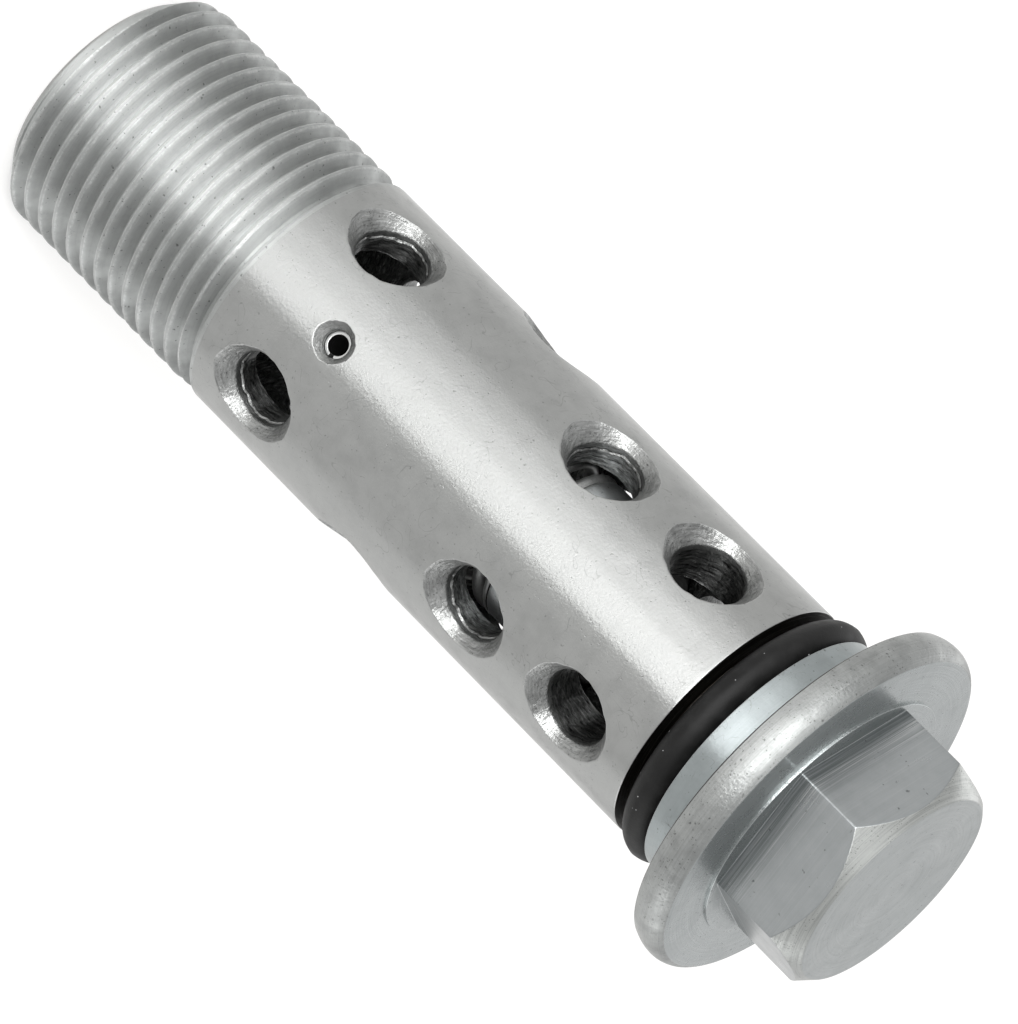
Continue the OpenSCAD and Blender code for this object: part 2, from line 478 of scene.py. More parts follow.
def place(name: str, mesh: bpy.types.Mesh) -> bpy.types.Object:
    """Put a finished mesh in the scene.

    Args:
        name: Name of the piece.
        mesh: Its mesh, in metres.

    Returns:
        The piece, at the origin, unturned and unscaled.
    """
    obj = bpy.data.objects.new(name, mesh)
    bpy.context.scene.collection.objects.link(obj)
    triangles = sum(len(p.vertices) - 2 for p in mesh.polygons)
    LOG.info("%s: %d triangles", name, triangles)
    return obj


@dataclass(frozen=True)
class PlatedSteel:
    """Clear zinc plate on machined steel: a cool silver sheen over the marks of the tool."""

    name: str
    plate: str = "#949594"
    stain: str = "#5E5F5E"
    worn: str = "#C6C7C6"
    pit: str = "#262626"
    scratch: str = "#5E5F5E"
    roughness: float = 0.34
    anisotropy: float = 0.0
    marks: Marks = Marks.PATH
    # Real tool marks lie 0.02 to 0.05 mm apart, which is less than a pixel: drawn as coarse as shows
    ring_spacing_mm: float = 0.12
    ring_length_mm: float = 8.0
    ring_depth: float = 0.15
    ring_tone: float = 0.12
    pit_spacing_mm: float = 0.6
    pit_share: float = 0.2
    pit_tone: float = 0.6
    # Real hairline scratches are 0.01 to 0.02 mm wide: drawn about a pixel wide
    hairlines: float = 0.0
    grain: float = 0.25
    mottle: float = 0.12
    wear: float = 0.6
    wear_limit: float = 0.15
    scuffs: float = 0.3
    ground_below_mm: float = 0.0
    ground_fade_mm: float = 1.5
    speck_size: float = 0.17

    def build(self) -> bpy.types.Material:
        """Make the material.

        Returns:
            A node material with tool rings, pits, hairline scratches and worn edges.
        """
        material, tree = new_material(self.name)
        mm = millimetres(tree)
        rings = self.rings(tree, mm)
        specks = self.specks(tree, mm)
        lines = self.hairline_mask(tree, mm)
        add = partial(add_node, tree)
        cloud = add(NOISE, out="Fac", named={"Vector": mm, "Scale": 0.6, "Detail": 6, "Roughness": 0.65})
        edge = add("ShaderNodeAttribute", out="Fac", attribute_name=WEAR)
        chips = add(NOISE, out="Fac", named={"Vector": mm, "Scale": 3.6, "Detail": 5, "Roughness": 0.75})
        colour = linear(self.plate)
        layers = [
            (cloud, 0.42, 0.72, self.mottle, self.stain), (rings, 0.5, 0.72, self.ring_tone, self.stain),
            (rings, 0.46, 0.28, self.ring_tone * 0.6, self.worn),
            (specks, 0.0, 1.0, self.pit_tone, self.pit), (lines, 0.0, 1.0, 0.7, self.scratch),
        ]
        if self.ground_below_mm:
            level = add(SEPARATE, mm, out=2)
            full = self.ground_below_mm - self.ground_fade_mm
            ground = add(MAP_RANGE, level, self.ground_below_mm, full, 0, 0.6)
            layers += [(rings, 0.5, 0.6, ground, self.stain), (rings, 0.46, 0.36, ground, self.worn)]
        for pattern, start, end, most, tint in layers:
            amount = add(MAP_RANGE, pattern, start, end, 0, most)
            colour = add(MIX, amount, out=2, named={6: colour, 7: linear(tint)}, data_type="RGBA")
        bare = add(MATH, edge, chips, operation="MULTIPLY")
        bare = add(MAP_RANGE, bare, self.wear_limit, self.wear_limit + 0.3, 0, self.wear)
        colour = add(MIX, bare, out=2, named={6: colour, 7: linear(self.worn)}, data_type="RGBA")
        rough = add(MAP_RANGE, cloud, 0.3, 0.7, self.roughness * 0.88, self.roughness * 1.15)
        tangent = {"Tangent": self.across_marks(tree, mm)} if self.anisotropy else {}
        shader = add(
            "ShaderNodeBsdfPrincipled",
            named={
                "Base Color": colour, "Metallic": 1.0, "Roughness": rough, "Anisotropic": self.anisotropy,
                "Normal": self.relief(tree, mm, rings, specks), **tangent,
            },
        )
        add("ShaderNodeOutputMaterial", out=None, named={"Surface": shader})
        return material

    def across_marks(self, tree: bpy.types.NodeTree, mm: bpy.types.NodeSocket) -> bpy.types.NodeSocket:
        """Direction across the tool's marks, along which they spread a highlight.

        Args:
            tree: Tree of the material.
            mm: Object coordinates in millimetres.

        Returns:
            Socket of the direction.
        """
        add = partial(add_node, tree)
        if self.marks is Marks.HEIGHT:
            return add(COMBINE, 0, 0, 1.0)
        if self.marks is Marks.RADIUS:
            flat = add(VECTOR_MATH, mm, (1, 1, 0), operation="MULTIPLY")
            return add(VECTOR_MATH, flat, operation="NORMALIZE")
        return add("ShaderNodeTangent", direction_type="UV_MAP", uv_map=MARKS)

    def rings(self, tree: bpy.types.NodeTree, mm: bpy.types.NodeSocket) -> bpy.types.NodeSocket:
        """Fine rings that the tool left, as a pattern from 0 to 1.

        Args:
            tree: Tree of the material.
            mm: Object coordinates in millimetres.

        Returns:
            Socket of the pattern.
        """
        add = partial(add_node, tree)
        across = add(SEPARATE, mm, out=2)
        if self.marks is Marks.RADIUS:
            flat = add(VECTOR_MATH, mm, (1, 1, 0), operation="MULTIPLY")
            across = add(VECTOR_MATH, flat, out="Value", operation="LENGTH")
        if self.marks is Marks.PATH:
            uv = add("ShaderNodeUVMap", uv_map=MARKS)
            across = add(SEPARATE, uv)
        fine = add(MATH, across, 1 / self.ring_spacing_mm, operation="MULTIPLY")
        slow = add(VECTOR_MATH, mm, named={"Scale": 1 / self.ring_length_mm}, operation="SCALE")
        slow_parts = add(SEPARATE, slow, out=None)
        side = add(MATH, slow_parts[0], slow_parts[2], operation="ADD")
        lay = add(COMBINE, side, slow_parts[1], fine)
        return add(NOISE, out="Fac", named={"Vector": lay, "Scale": 1.0, "Detail": 3, "Roughness": 0.7})

    def specks(self, tree: bpy.types.NodeTree, mm: bpy.types.NodeSocket) -> bpy.types.NodeSocket:
        """Small pits and dark specks of two sizes, closer together along the edges.

        Args:
            tree: Tree of the material.
            mm: Object coordinates in millimetres.

        Returns:
            Socket of the pattern, 1 in the middle of a speck.
        """
        add = partial(add_node, tree)
        near = add("ShaderNodeAttribute", out="Fac", attribute_name=NEAR_EDGE)
        wavy = add(NOISE, out="Color", named={"Vector": mm, "Scale": 3.0, "Detail": 2})
        bent = add(VECTOR_MATH, wavy, (0.35, 0.35, 0.35), mm, operation="MULTIPLY_ADD")
        total = None
        for spacing, share, size in (
            (self.pit_spacing_mm, self.pit_share, self.speck_size),
            (self.pit_spacing_mm * 0.45, self.pit_share * 0.6, self.speck_size * 1.5),
        ):
            cells = add("ShaderNodeTexVoronoi", out=None, named={"Vector": bent, "Scale": 1 / spacing})
            pick = add("ShaderNodeSeparateColor", cells["Color"], out=None)
            reach = add(MATH, pick[1], size, size * 0.35, operation="MULTIPLY_ADD")
            dot = add(MAP_RANGE, cells["Distance"], reach, 0.0, 0, 1.6)
            limit = add(MATH, near, self.scuffs, share, operation="MULTIPLY_ADD")
            chosen = add(MATH, pick[0], limit, operation="LESS_THAN")
            layer = add(MATH, dot, chosen, operation="MULTIPLY")
            total = layer if total is None else add(MATH, total, layer, operation="MAXIMUM")
        return total

    def hairline_mask(self, tree: bpy.types.NodeTree, mm: bpy.types.NodeSocket) -> bpy.types.NodeSocket:
        """Thin wandering scratches in some places only.

        Args:
            tree: Tree of the material.
            mm: Object coordinates in millimetres.

        Returns:
            Socket of the pattern, 1 on a scratch.
        """
        add = partial(add_node, tree)
        wander = add(
            NOISE, out="Fac",
            named={"Vector": mm, "Scale": 0.5, "Detail": 1.5, "Roughness": 0.5, "Distortion": 0.8},
        )
        off_line = add(MATH, wander, 0.53, operation="SUBTRACT")
        off_line = add(MATH, off_line, operation="ABSOLUTE")
        line = add(MAP_RANGE, off_line, 0.002, 0.008, 1, 0)
        patch = add(NOISE, out="Fac", named={"Vector": mm, "Scale": 0.4, "Detail": 3})
        patch = add(MAP_RANGE, patch, 0.5, 0.56, 0, self.hairlines)
        return add(MATH, line, patch, operation="MULTIPLY")

    def relief(
        self, tree: bpy.types.NodeTree, mm: bpy.types.NodeSocket, rings: bpy.types.NodeSocket,
        specks: bpy.types.NodeSocket,
    ) -> bpy.types.NodeSocket:
        """Relief of the tool rings, the pits and the plate's own fine grain.

        Args:
            tree: Tree of the material.
            mm: Object coordinates in millimetres.
            rings: Pattern of the tool rings.
            specks: Pattern of the pits.

        Returns:
            Socket of the shading normal.
        """
        add = partial(add_node, tree)
        grain = add(NOISE, out="Fac", named={"Vector": mm, "Scale": 4.5, "Detail": 2})
        height = add(MATH, grain, self.grain, operation="MULTIPLY")
        for pattern, depth in ((rings, self.ring_depth), (specks, -0.5)):
            height = add(MATH, pattern, depth, height, operation="MULTIPLY_ADD")
        return add("ShaderNodeBump", named={"Height": height, "Strength": 0.6, "Distance": 0.02 * MM})


@dataclass(frozen=True)
class MouldedRubber:
    """Black moulded nitrile: satin, with a faint bloom and specks of dust."""

    name: str = "moulded_nitrile_rubber"
    body: str = "#080808"
    bloom: str = "#131313"
    dust: str = "#8E8F90"

    def build(self) -> bpy.types.Material:
        """Make the material.

        Returns:
            A node material with bloom, dust and a fine grain.
        """
        material, tree = new_material(self.name)
        mm = millimetres(tree)
        add = partial(add_node, tree)
        cloud = add(NOISE, out="Fac", named={"Vector": mm, "Scale": 0.9, "Detail": 5})
        bloom = add(MAP_RANGE, cloud, 0.45, 0.8)
        colour = add(
            MIX, bloom, out=2, named={6: linear(self.body), 7: linear(self.bloom)}, data_type="RGBA",
        )
        cells = add("ShaderNodeTexVoronoi", out=None, named={"Vector": mm, "Scale": 1.5})
        dot = add(MAP_RANGE, cells["Distance"], 0.05, 0.09, 1, 0)
        pick = add("ShaderNodeSeparateColor", cells["Color"])
        chosen = add(MATH, pick, 0.3, operation="LESS_THAN")
        speck = add(MATH, dot, chosen, operation="MULTIPLY")
        colour = add(MIX, speck, out=2, named={6: colour, 7: linear(self.dust)}, data_type="RGBA")
        grain = add(NOISE, out="Fac", named={"Vector": mm, "Scale": 6.0, "Detail": 3})
        normal = add("ShaderNodeBump", named={"Height": grain, "Strength": 0.5, "Distance": 0.02 * MM})
        rough = add(MAP_RANGE, cloud, 0, 1, 0.42, 0.66)
        shader = add(
            "ShaderNodeBsdfPrincipled",
            named={
                "Base Color": colour, "Roughness": rough, "IOR": 1.52, "Specular IOR Level": 0.16,
                "Normal": normal,
            },
        )
        add("ShaderNodeOutputMaterial", out=None, named={"Surface": shader})
        return material


@dataclass(frozen=True)
class DrilledHole:
    """One countersunk hole through the tube's wall, as a lining that fills a window in both skins."""

    name: str
    radius: float
    sink_radius: float
    half_angle: float
    outer_radius: float
    inner_radius: float
    turns: tuple[float, ...]
    outer_levels: tuple[float, ...]
    inner_levels: tuple[float, ...]
    # How far below the countersink the bore narrows, and by how much
    step_depth: float
    step: float
    # Rounding of the edges
    edge: float
    # Shares of the ragged edge that show at the rim, on the step and at the mouth in the bore
    rim_share: float = 0.7
    step_share: float = 1.5
    mouth_share: float = 0.8

    def border(self, radius: float, levels: tuple[float, ...]) -> np.ndarray:
        """Points round the window, as sideways and upward distances from the hole's axis.

        Args:
            radius: Radius of the skin that the window is in.
            levels: Heights of the window's rows over the hole's axis.

        Returns:
            The points, with the first one repeated at the end.
        """
        side = [radius * math.sin(t) for t in self.turns]
        loop = [(x, levels[0]) for x in side[:-1]]
        loop += [(side[-1], z) for z in levels[:-1]]
        loop += [(x, levels[-1]) for x in side[:0:-1]]
        loop += [(side[0], z) for z in levels[::-1]]
        return np.array(loop)

    def rim_radius(self, along: np.ndarray) -> np.ndarray:
        """Distance from the hole's axis at which the countersink leaves the tube's surface.

        Args:
            along: Cosine of each direction from the hole's axis, 1 across the tube.

        Returns:
            The distance in each direction.
        """
        slope = math.tan(self.half_angle)
        reach = np.full_like(along, self.sink_radius)
        for _ in range(SETTLING_ROUNDS):
            drop = self.outer_radius - np.sqrt(self.outer_radius**2 - (reach * along) ** 2)
            reach = self.sink_radius - drop * slope
        return reach

    def lining(self, materials: list[bpy.types.Material]) -> bpy.types.Mesh:
        """Make the lining for a hole at turn 0 and height 0.

        Args:
            materials: Materials of the bolt's body, in the order of Surface.

        Returns:
            An open mesh that meets both skins at the window's borders.
        """
        outer = self.border(self.outer_radius, self.outer_levels)
        inner = self.border(self.inner_radius, self.inner_levels)
        reach = np.hypot(outer[:, 0], outer[:, 1])
        heading = outer / reach[:, None]
        spin = np.arctan2(heading[:, 1], heading[:, 0])
        ragged = sum(size * np.sin(waves * spin + start) for size, waves, start in RAGGED_EDGE)
        rim = self.rim_radius(heading[:, 0]) + self.rim_share * ragged
        foot = self.outer_radius - (self.sink_radius - self.radius) / math.tan(self.half_angle)

        def on_skin(plan: np.ndarray, radius: float) -> np.ndarray:
            depth = np.sqrt(radius**2 - plan[:, 0] ** 2)
            return np.stack([plan[:, 0], -depth, plan[:, 1]], axis=-1)

        def at(distance: np.ndarray | float, depth: np.ndarray | float) -> np.ndarray:
            plan = heading * np.broadcast_to(distance, rim.shape)[:, None]
            level = np.broadcast_to(depth, rim.shape)
            return np.stack([plan[:, 0], -level, plan[:, 1]], axis=-1)

        rows = []
        slots = []
        start = heading * (rim + self.edge)[:, None]
        # Rows from the window's border to the rim lie closer together near the rim
        for t in np.linspace(0, 1, 5)[:-1] ** 0.7:
            rows.append(on_skin(outer * (1 - t) + start * t, self.outer_radius))
            slots.append(Surface.TUBE.value)
        rim_depth = np.sqrt(self.outer_radius**2 - (rim * heading[:, 0]) ** 2)
        narrow = self.radius - self.step
        mouth = narrow + self.mouth_share * ragged
        bore_depth = np.sqrt(self.inner_radius**2 - (mouth * heading[:, 0]) ** 2)
        step_floor = foot - self.step_depth + self.step_share * ragged
        finish = heading * (mouth + self.edge)[:, None]
        controls = [
            on_skin(start, self.outer_radius), at(rim, rim_depth),
            at(self.radius, foot + self.rim_share * ragged), at(self.radius, step_floor),
            at(narrow, step_floor - self.step), at(mouth, bore_depth), on_skin(finish, self.inner_radius),
        ]
        edge = self.edge
        section = rounded_rows(controls, [0, edge, edge, edge / 2, edge / 2, edge, 0], steps=3)
        rows.extend(section)
        kinds = [Surface.TUBE] * 2 + [Surface.COUNTERSINK] * 7
        kinds += [Surface.DRILLED] * (len(section) - len(kinds))
        slots.extend(kind.value for kind in kinds)
        for t in np.linspace(0, 1, 4)[1:]:
            rows.append(on_skin(finish * (1 - t) + inner * t, self.inner_radius))
            slots.append(Surface.DRILLED.value)
        skin = Skin(self.name)
        skin.add_grid(np.stack(rows), slots[: len(rows) - 1])
        return skin.mesh(materials)


def hole_pattern_tree() -> bpy.types.NodeTree:
    """Build the tree that repeats a hole's lining round the tube, and in rows up it.

    Returns:
        The geometry node tree.
    """
    inputs = {
        "Holes": "Int", "Rows": "Int", "First Turn": "Float", "First Height": "Float",
        "Row Spacing": "Float",
    }
    tree, sockets = new_shape_tree("hole_pattern", inputs)
    add = partial(add_node, tree)
    index = add("GeometryNodeInputIndex")
    count = add(MATH, sockets["Holes"], sockets["Rows"], operation="MULTIPLY")
    share = add(MATH, index, sockets["Holes"], operation="DIVIDE")
    # A hair is added so that rounding can't drop a row's first hole into the row below
    row = add(MATH, share, 0.001, operation="ADD")
    row = add(MATH, row, operation="FLOOR")
    height = add(MATH, row, sockets["Row Spacing"], sockets["First Height"], operation="MULTIPLY_ADD")
    turn = add(MATH, share, FULL_TURN, sockets["First Turn"], operation="MULTIPLY_ADD")
    spot = add(COMBINE, 0, 0, height)
    spin = add(COMBINE, 0, 0, turn)
    points = add("GeometryNodePoints", named={"Count": count, "Position": spot})
    copies = add(
        "GeometryNodeInstanceOnPoints",
        named={"Points": points, "Instance": sockets["Geometry"], "Rotation": spin},
    )
    whole = add("GeometryNodeRealizeInstances", copies)
    add("NodeGroupOutput", out=None, named={"Geometry": whole})
    return tree


def thread_tree() -> bpy.types.NodeTree:
    """Build the tree that cuts a 60 degree thread as one long strip wound up the bolt.

    Returns:
        The geometry node tree.
    """
    inputs = {
        "Pitch": "Float", "Major Radius": "Float", "Depth": "Float", "Crest Width": "Float",
        "First Crest": "Float", "Lead Radius": "Float", "Run-out Start": "Float", "Bottom": "Float",
        "Top": "Float", "Root Fillet": "Float", "Crest Fillet": "Float", "Nick Depth": "Float",
        "Turns": "Int", "Columns": "Int", "Rows": "Int", "Material": "Material",
    }
    tree, sockets = new_shape_tree("wound_thread", inputs)
    flank = math.sqrt(3)
    add = partial(add_node, tree)
    long_side = add(MATH, sockets["Turns"], sockets["Columns"], 1, operation="MULTIPLY_ADD")
    short_side = add(MATH, sockets["Rows"], 1, operation="ADD")
    strip = add(
        "GeometryNodeMeshGrid", out="Mesh",
        named={"Size X": 1, "Size Y": 1, "Vertices X": long_side, "Vertices Y": short_side},
    )
    place_on_strip = add("GeometryNodeInputPosition")
    parts = add(SEPARATE, place_on_strip, out=None)
    along = add(MATH, parts[0], 0.5, operation="ADD")
    winding = add(MATH, along, sockets["Turns"], -1, operation="MULTIPLY_ADD")
    raised = add(MATH, winding, parts[1], operation="ADD")
    free_height = add(MATH, raised, sockets["Pitch"], sockets["First Crest"], operation="MULTIPLY_ADD")
    height = add("ShaderNodeClamp", free_height, sockets["Bottom"], sockets["Top"])
    over_crest = add(MATH, height, sockets["First Crest"], operation="SUBTRACT")
    pitches = add(MATH, over_crest, sockets["Pitch"], operation="DIVIDE")
    phase = add(MATH, pitches, winding, operation="SUBTRACT")
    fold = add(MATH, phase, 0.5, operation="PINGPONG")
    from_crest = add(MATH, fold, sockets["Pitch"], operation="MULTIPLY")
    half_crest = add(MATH, sockets["Crest Width"], 0.5, operation="MULTIPLY")
    down_flank = add(MATH, from_crest, half_crest, operation="SUBTRACT")
    cut = add(MATH, down_flank, flank, operation="MULTIPLY")
    for operation, limit, fillet in (
        ("SMOOTH_MIN", sockets["Depth"], sockets["Root Fillet"]),
        ("SMOOTH_MAX", 0.0, sockets["Crest Fillet"]),
    ):
        cut = add(MATH, cut, limit, fillet, operation=operation)
    plain = add(MATH, sockets["Major Radius"], cut, operation="SUBTRACT")
    lead = add(MATH, height, sockets["Lead Radius"], operation="ADD")
    past_end = add(MATH, height, sockets["Run-out Start"], operation="SUBTRACT")
    run_out = add(MATH, past_end, -flank, sockets["Major Radius"], operation="MULTIPLY_ADD")
    radius = add(MATH, plain, lead, operation="MINIMUM")
    radius = add(MATH, radius, run_out, operation="MINIMUM")
    angle = add(MATH, winding, FULL_TURN, operation="MULTIPLY")
    outwards = add(MATH, radius, -1.0, operation="MULTIPLY")
    flat_spot = add(COMBINE, 0, outwards, height)
    spot = add(
        "ShaderNodeVectorRotate", named={"Vector": flat_spot, "Angle": angle}, rotation_type="Z_AXIS",
    )
    nick_noise = add(NOISE, out="Fac", named={"Vector": spot, "Scale": 1.9 * PER_METRE, "Detail": 2.0})
    nick = add(MAP_RANGE, nick_noise, 0.56, 0.68, 0, sockets["Nick Depth"])
    lost = add(MATH, sockets["Major Radius"], radius, operation="SUBTRACT")
    on_crest = add(MAP_RANGE, lost, 0.0, 0.2 * MM, 1.0, 0.0)
    nick = add(MATH, nick, on_crest, operation="MULTIPLY")
    shrink = add(MATH, radius, nick, operation="SUBTRACT")
    share = add(MATH, shrink, radius, operation="DIVIDE")
    squeeze = add(COMBINE, share, share, 1.0)
    final_spot = add(VECTOR_MATH, spot, squeeze, operation="MULTIPLY")
    mark = add(MATH, parts[1], sockets["Pitch"], operation="MULTIPLY")
    mark = add(MATH, mark, PER_METRE, operation="MULTIPLY")
    mark = add(COMBINE, mark, winding)
    marked = add(
        "GeometryNodeStoreNamedAttribute", named={"Geometry": strip, "Name": MARKS, "Value": mark},
        data_type="FLOAT2", domain="CORNER",
    )
    wound = add("GeometryNodeSetPosition", named={"Geometry": marked, "Position": final_spot})
    joined = add("GeometryNodeMergeByDistance", named={"Geometry": wound, "Distance": WELD_DISTANCE})
    whole = add("GeometryNodeRealizeInstances", joined)
    dressed = add("GeometryNodeSetMaterial", named={"Geometry": whole, "Material": sockets["Material"]})
    add("NodeGroupOutput", out=None, named={"Geometry": dressed})
    return tree


def coil_tree() -> bpy.types.NodeTree:
    """Build the tree that winds a coil spring with a closed, ground coil at each end.

    Returns:
        The geometry node tree.
    """
    inputs = {
        "Foot": "Float", "Length": "Float", "Coil Radius": "Float", "Wire Radius": "Float",
        "Closed Pitch": "Float", "Free Coils": "Int", "Steps": "Int", "Material": "Material",
    }
    tree, sockets = new_shape_tree("ground_coil_spring", inputs)
    add = partial(add_node, tree)
    coils = add(MATH, sockets["Free Coils"], 2.0, operation="ADD")
    count = add(MATH, coils, sockets["Steps"], 1.0, operation="MULTIPLY_ADD")
    line = add("GeometryNodeMeshLine", named={"Count": count})
    index = add("GeometryNodeInputIndex")
    turns = add(MATH, index, sockets["Steps"], operation="DIVIDE")
    closed = add(MATH, sockets["Closed Pitch"], -2.0, operation="MULTIPLY")
    free = add(MATH, sockets["Length"], closed, operation="ADD")
    free_end = add(MATH, coils, -1.0, operation="ADD")
    rise = add(MAP_RANGE, turns, 1.0, free_end, 0, free)
    start = add(MATH, turns, 1.0, operation="MINIMUM")
    over = add(MATH, turns, free_end, operation="SUBTRACT")
    over = add(MATH, over, 0.0, operation="MAXIMUM")
    ends = add(MATH, start, over, operation="ADD")
    height = add(MATH, ends, sockets["Closed Pitch"], rise, operation="MULTIPLY_ADD")
    angle = add(MATH, turns, FULL_TURN, operation="MULTIPLY")
    reach = add(COMBINE, sockets["Coil Radius"], 0, height)
    spot = add("ShaderNodeVectorRotate", named={"Vector": reach, "Angle": angle}, rotation_type="Z_AXIS")
    wound = add("GeometryNodeSetPosition", named={"Geometry": line, "Position": spot})
    curve = add("GeometryNodeMeshToCurve", wound)
    upright = add("GeometryNodeSetCurveNormal", named={"Curve": curve}, mode="Z_UP")
    section = add(
        "GeometryNodeCurvePrimitiveCircle", named={"Resolution": 14, "Radius": sockets["Wire Radius"]},
    )
    wire = add(
        "GeometryNodeCurveToMesh", named={"Curve": upright, "Profile Curve": section, "Fill Caps": True},
    )
    at = add("GeometryNodeInputPosition")
    parts = add(SEPARATE, at, out=None)
    ground = add("ShaderNodeClamp", parts[2], 0.0, sockets["Length"])
    lifted = add(MATH, ground, sockets["Foot"], operation="ADD")
    flat = add(COMBINE, parts[0], parts[1], lifted)
    ground_wire = add("GeometryNodeSetPosition", named={"Geometry": wire, "Position": flat})
    whole = add("GeometryNodeRealizeInstances", ground_wire)
    dressed = add("GeometryNodeSetMaterial", named={"Geometry": whole, "Material": sockets["Material"]})
    add("NodeGroupOutput", out=None, named={"Geometry": dressed})
    return tree


@dataclass
class BoltBody:
    """The turned, drilled and plated body: thread, tube, groove, collar, flange and hex head."""

    shank_r: float = 10.0
    pitch: float = 1.5
    thread_depth: float = 0.92
    crest_width: float = 0.32
    lead_h: float = 1.6
    thread_bottom: float = 0.35
    thread_end: float = 20.9
    tube_start: float = 21.2
    tube_stop: float = 64.5
    bore_r: float = 7.0
    mouth_chamfer: float = 0.4
    seat_z: float = 53.4
    upper_bore_r: float = 5.75
    upper_bore_end: float = 62.0
    hole_r: float = 2.7
    sink_r: float = 3.75
    sink_half_angle: float = math.radians(40)
    first_row_z: float = 26.6
    second_row_z: float = 48.4
    third_row_z: float = 58.7
    window_h: float = 4.4
    upper_window_h: float = 3.2
    pin_window_h: float = 2.5
    window_rows: int = 18
    groove_r: float = 8.0
    groove_w: float = 3.2
    collar_r: float = 10.2
    collar_h: float = 3.2
    collar_edge: float = 0.2
    collar_guard: float = 0.9
    flange_z: float = 71.2
    flange_t: float = 2.7
    rim_to_face: float = 0.66
    face_rise: float = 0.15
    pad_h: float = 0.2
    pad_edge: float = 0.45
    pad_lead: float = 0.3
    pad_lead_h: float = 0.02
    hex_af: float = 17.0
    hex_turn: float = math.radians(-8)
    end_inset: float = 0.45
    corner_rounding: float = 0.11
    pin_z: float = 29.4
    pin_columns: tuple[int, int] = (-4, 6)

    @property
    def total(self) -> float:
        """Height of the whole bolt."""
        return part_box("bolt_body")[1].z * PER_METRE

    @property
    def side_row_z(self) -> float:
        """Height of the pair of side holes."""
        return (self.first_row_z + self.second_row_z) / 2

    @property
    def hex_corner_r(self) -> float:
        """Distance of the hex's sharp corners from the axis."""
        return self.hex_af / 2 / math.cos(math.pi / 6)

    @property
    def run_out_floor(self) -> float:
        """Height at which the thread has run out to the root."""
        return self.thread_end - self.pitch / 6 - self.thread_depth / math.sqrt(3)

    def window(self, height: float, half: float) -> np.ndarray:
        """Heights of the rows of a hole's window.

        Args:
            height: Height of the hole's axis.
            half: Half the window's height.

        Returns:
            One height for each row of points.
        """
        return height + np.linspace(-half, half, self.window_rows + 1)

    def levels(self, start: float, end: float, rows: list[float], half: float) -> np.ndarray:
        """Heights of a skin's rows of points, fine enough for its windows.

        Args:
            start: Height of the first row.
            end: Height of the last row.
            rows: Heights of the rows of holes.
            half: Half the windows' height.

        Returns:
            All heights, from low to high.
        """
        spacing = 2 * half / self.window_rows
        found = [np.array([start])]
        low = start
        for height in [*rows, None]:
            top = end if height is None else height - half
            gap = max(1, round((top - low) / spacing))
            found.append(np.linspace(low, top, gap + 1)[1:])
            if height is not None:
                found.append(self.window(height, half)[1:])
                low = height + half
        return np.concatenate(found)

    def cut_windows(self, levels: np.ndarray, windows: list[tuple[int, int, float, float]]) -> np.ndarray:
        """Mark the faces of a skin that its windows leave out.

        Args:
            levels: Heights of the skin's rows.
            windows: First and last column, and lowest and highest height, of each window.

        Returns:
            True for each face that is left out, by row and column.
        """
        mask = np.zeros((len(levels) - 1, COLUMNS), dtype=bool)
        middles = (levels[1:] + levels[:-1]) / 2
        for first, last, low, high in windows:
            rows = (middles > low) & (middles < high)
            columns = np.arange(first, last) % COLUMNS
            mask[np.ix_(rows, columns)] = True
        return mask

    def holes(self) -> list[tuple[DrilledHole, dict[str, object], list[int]]]:
        """List the hole patterns.

        Returns:
            Each pattern's hole, its inputs for the pattern tree and the columns of its windows.
        """
        quarter = COLUMNS // 4
        main_half = quarter // 3
        upper_half = main_half + 2
        main_levels = tuple(self.window(0, self.window_h))
        upper_levels = tuple(self.window(0, self.upper_window_h))

        def oil_hole(
            name: str, half: int, inner_r: float, inner: tuple[float, ...], step: float,
        ) -> DrilledHole:
            turns = tuple(k * COLUMN_STEP for k in range(-half, half + 1))
            return DrilledHole(
                name, radius=self.hole_r, sink_radius=self.sink_r, half_angle=self.sink_half_angle,
                outer_radius=self.shank_r, inner_radius=inner_r, turns=turns, outer_levels=main_levels,
                inner_levels=inner, step_depth=0.45, step=step, edge=0.12,
            )

        main = oil_hole("oil_hole", main_half, self.bore_r, main_levels, step=0.12)
        upper = oil_hole("upper_oil_hole", upper_half, self.upper_bore_r, upper_levels, step=0.0)
        pin_rows = self.tube_levels()
        near_pin = pin_rows[np.abs(pin_rows - self.pin_z) < self.pin_window_h]
        pin_levels = tuple(near_pin - self.pin_z)
        left, right = self.pin_columns
        pin_turns = tuple(k * COLUMN_STEP - PIN_TURN for k in range(left, right + 1))
        pin = DrilledHole(
            "pin_hole", radius=1.0, sink_radius=1.6, half_angle=math.radians(45),
            outer_radius=self.shank_r, inner_radius=self.bore_r, turns=pin_turns,
            outer_levels=pin_levels, inner_levels=pin_levels, step_depth=0.2, step=0.0, edge=0.06,
        )
        spacing = self.second_row_z - self.first_row_z
        pattern = {"Holes": 4, "Rows": 1, "First Turn": math.pi / 4, "Row Spacing": 0.0}
        lower_rows = {
            **pattern, "Rows": 2, "First Height": self.first_row_z * MM, "Row Spacing": spacing * MM,
        }
        side_row = {
            **pattern, "Holes": 2, "First Turn": math.pi / 2, "First Height": self.side_row_z * MM,
        }
        top_row = {**pattern, "First Height": self.third_row_z * MM}
        pin_row = {**pattern, "Holes": 2, "First Turn": PIN_TURN, "First Height": self.pin_z * MM}
        diagonal = [quarter // 2 + k * quarter for k in range(4)]
        return [
            (main, lower_rows, diagonal), (main, side_row, [quarter, 3 * quarter]),
            (upper, top_row, diagonal), (pin, pin_row, [0, 2 * quarter]),
        ]

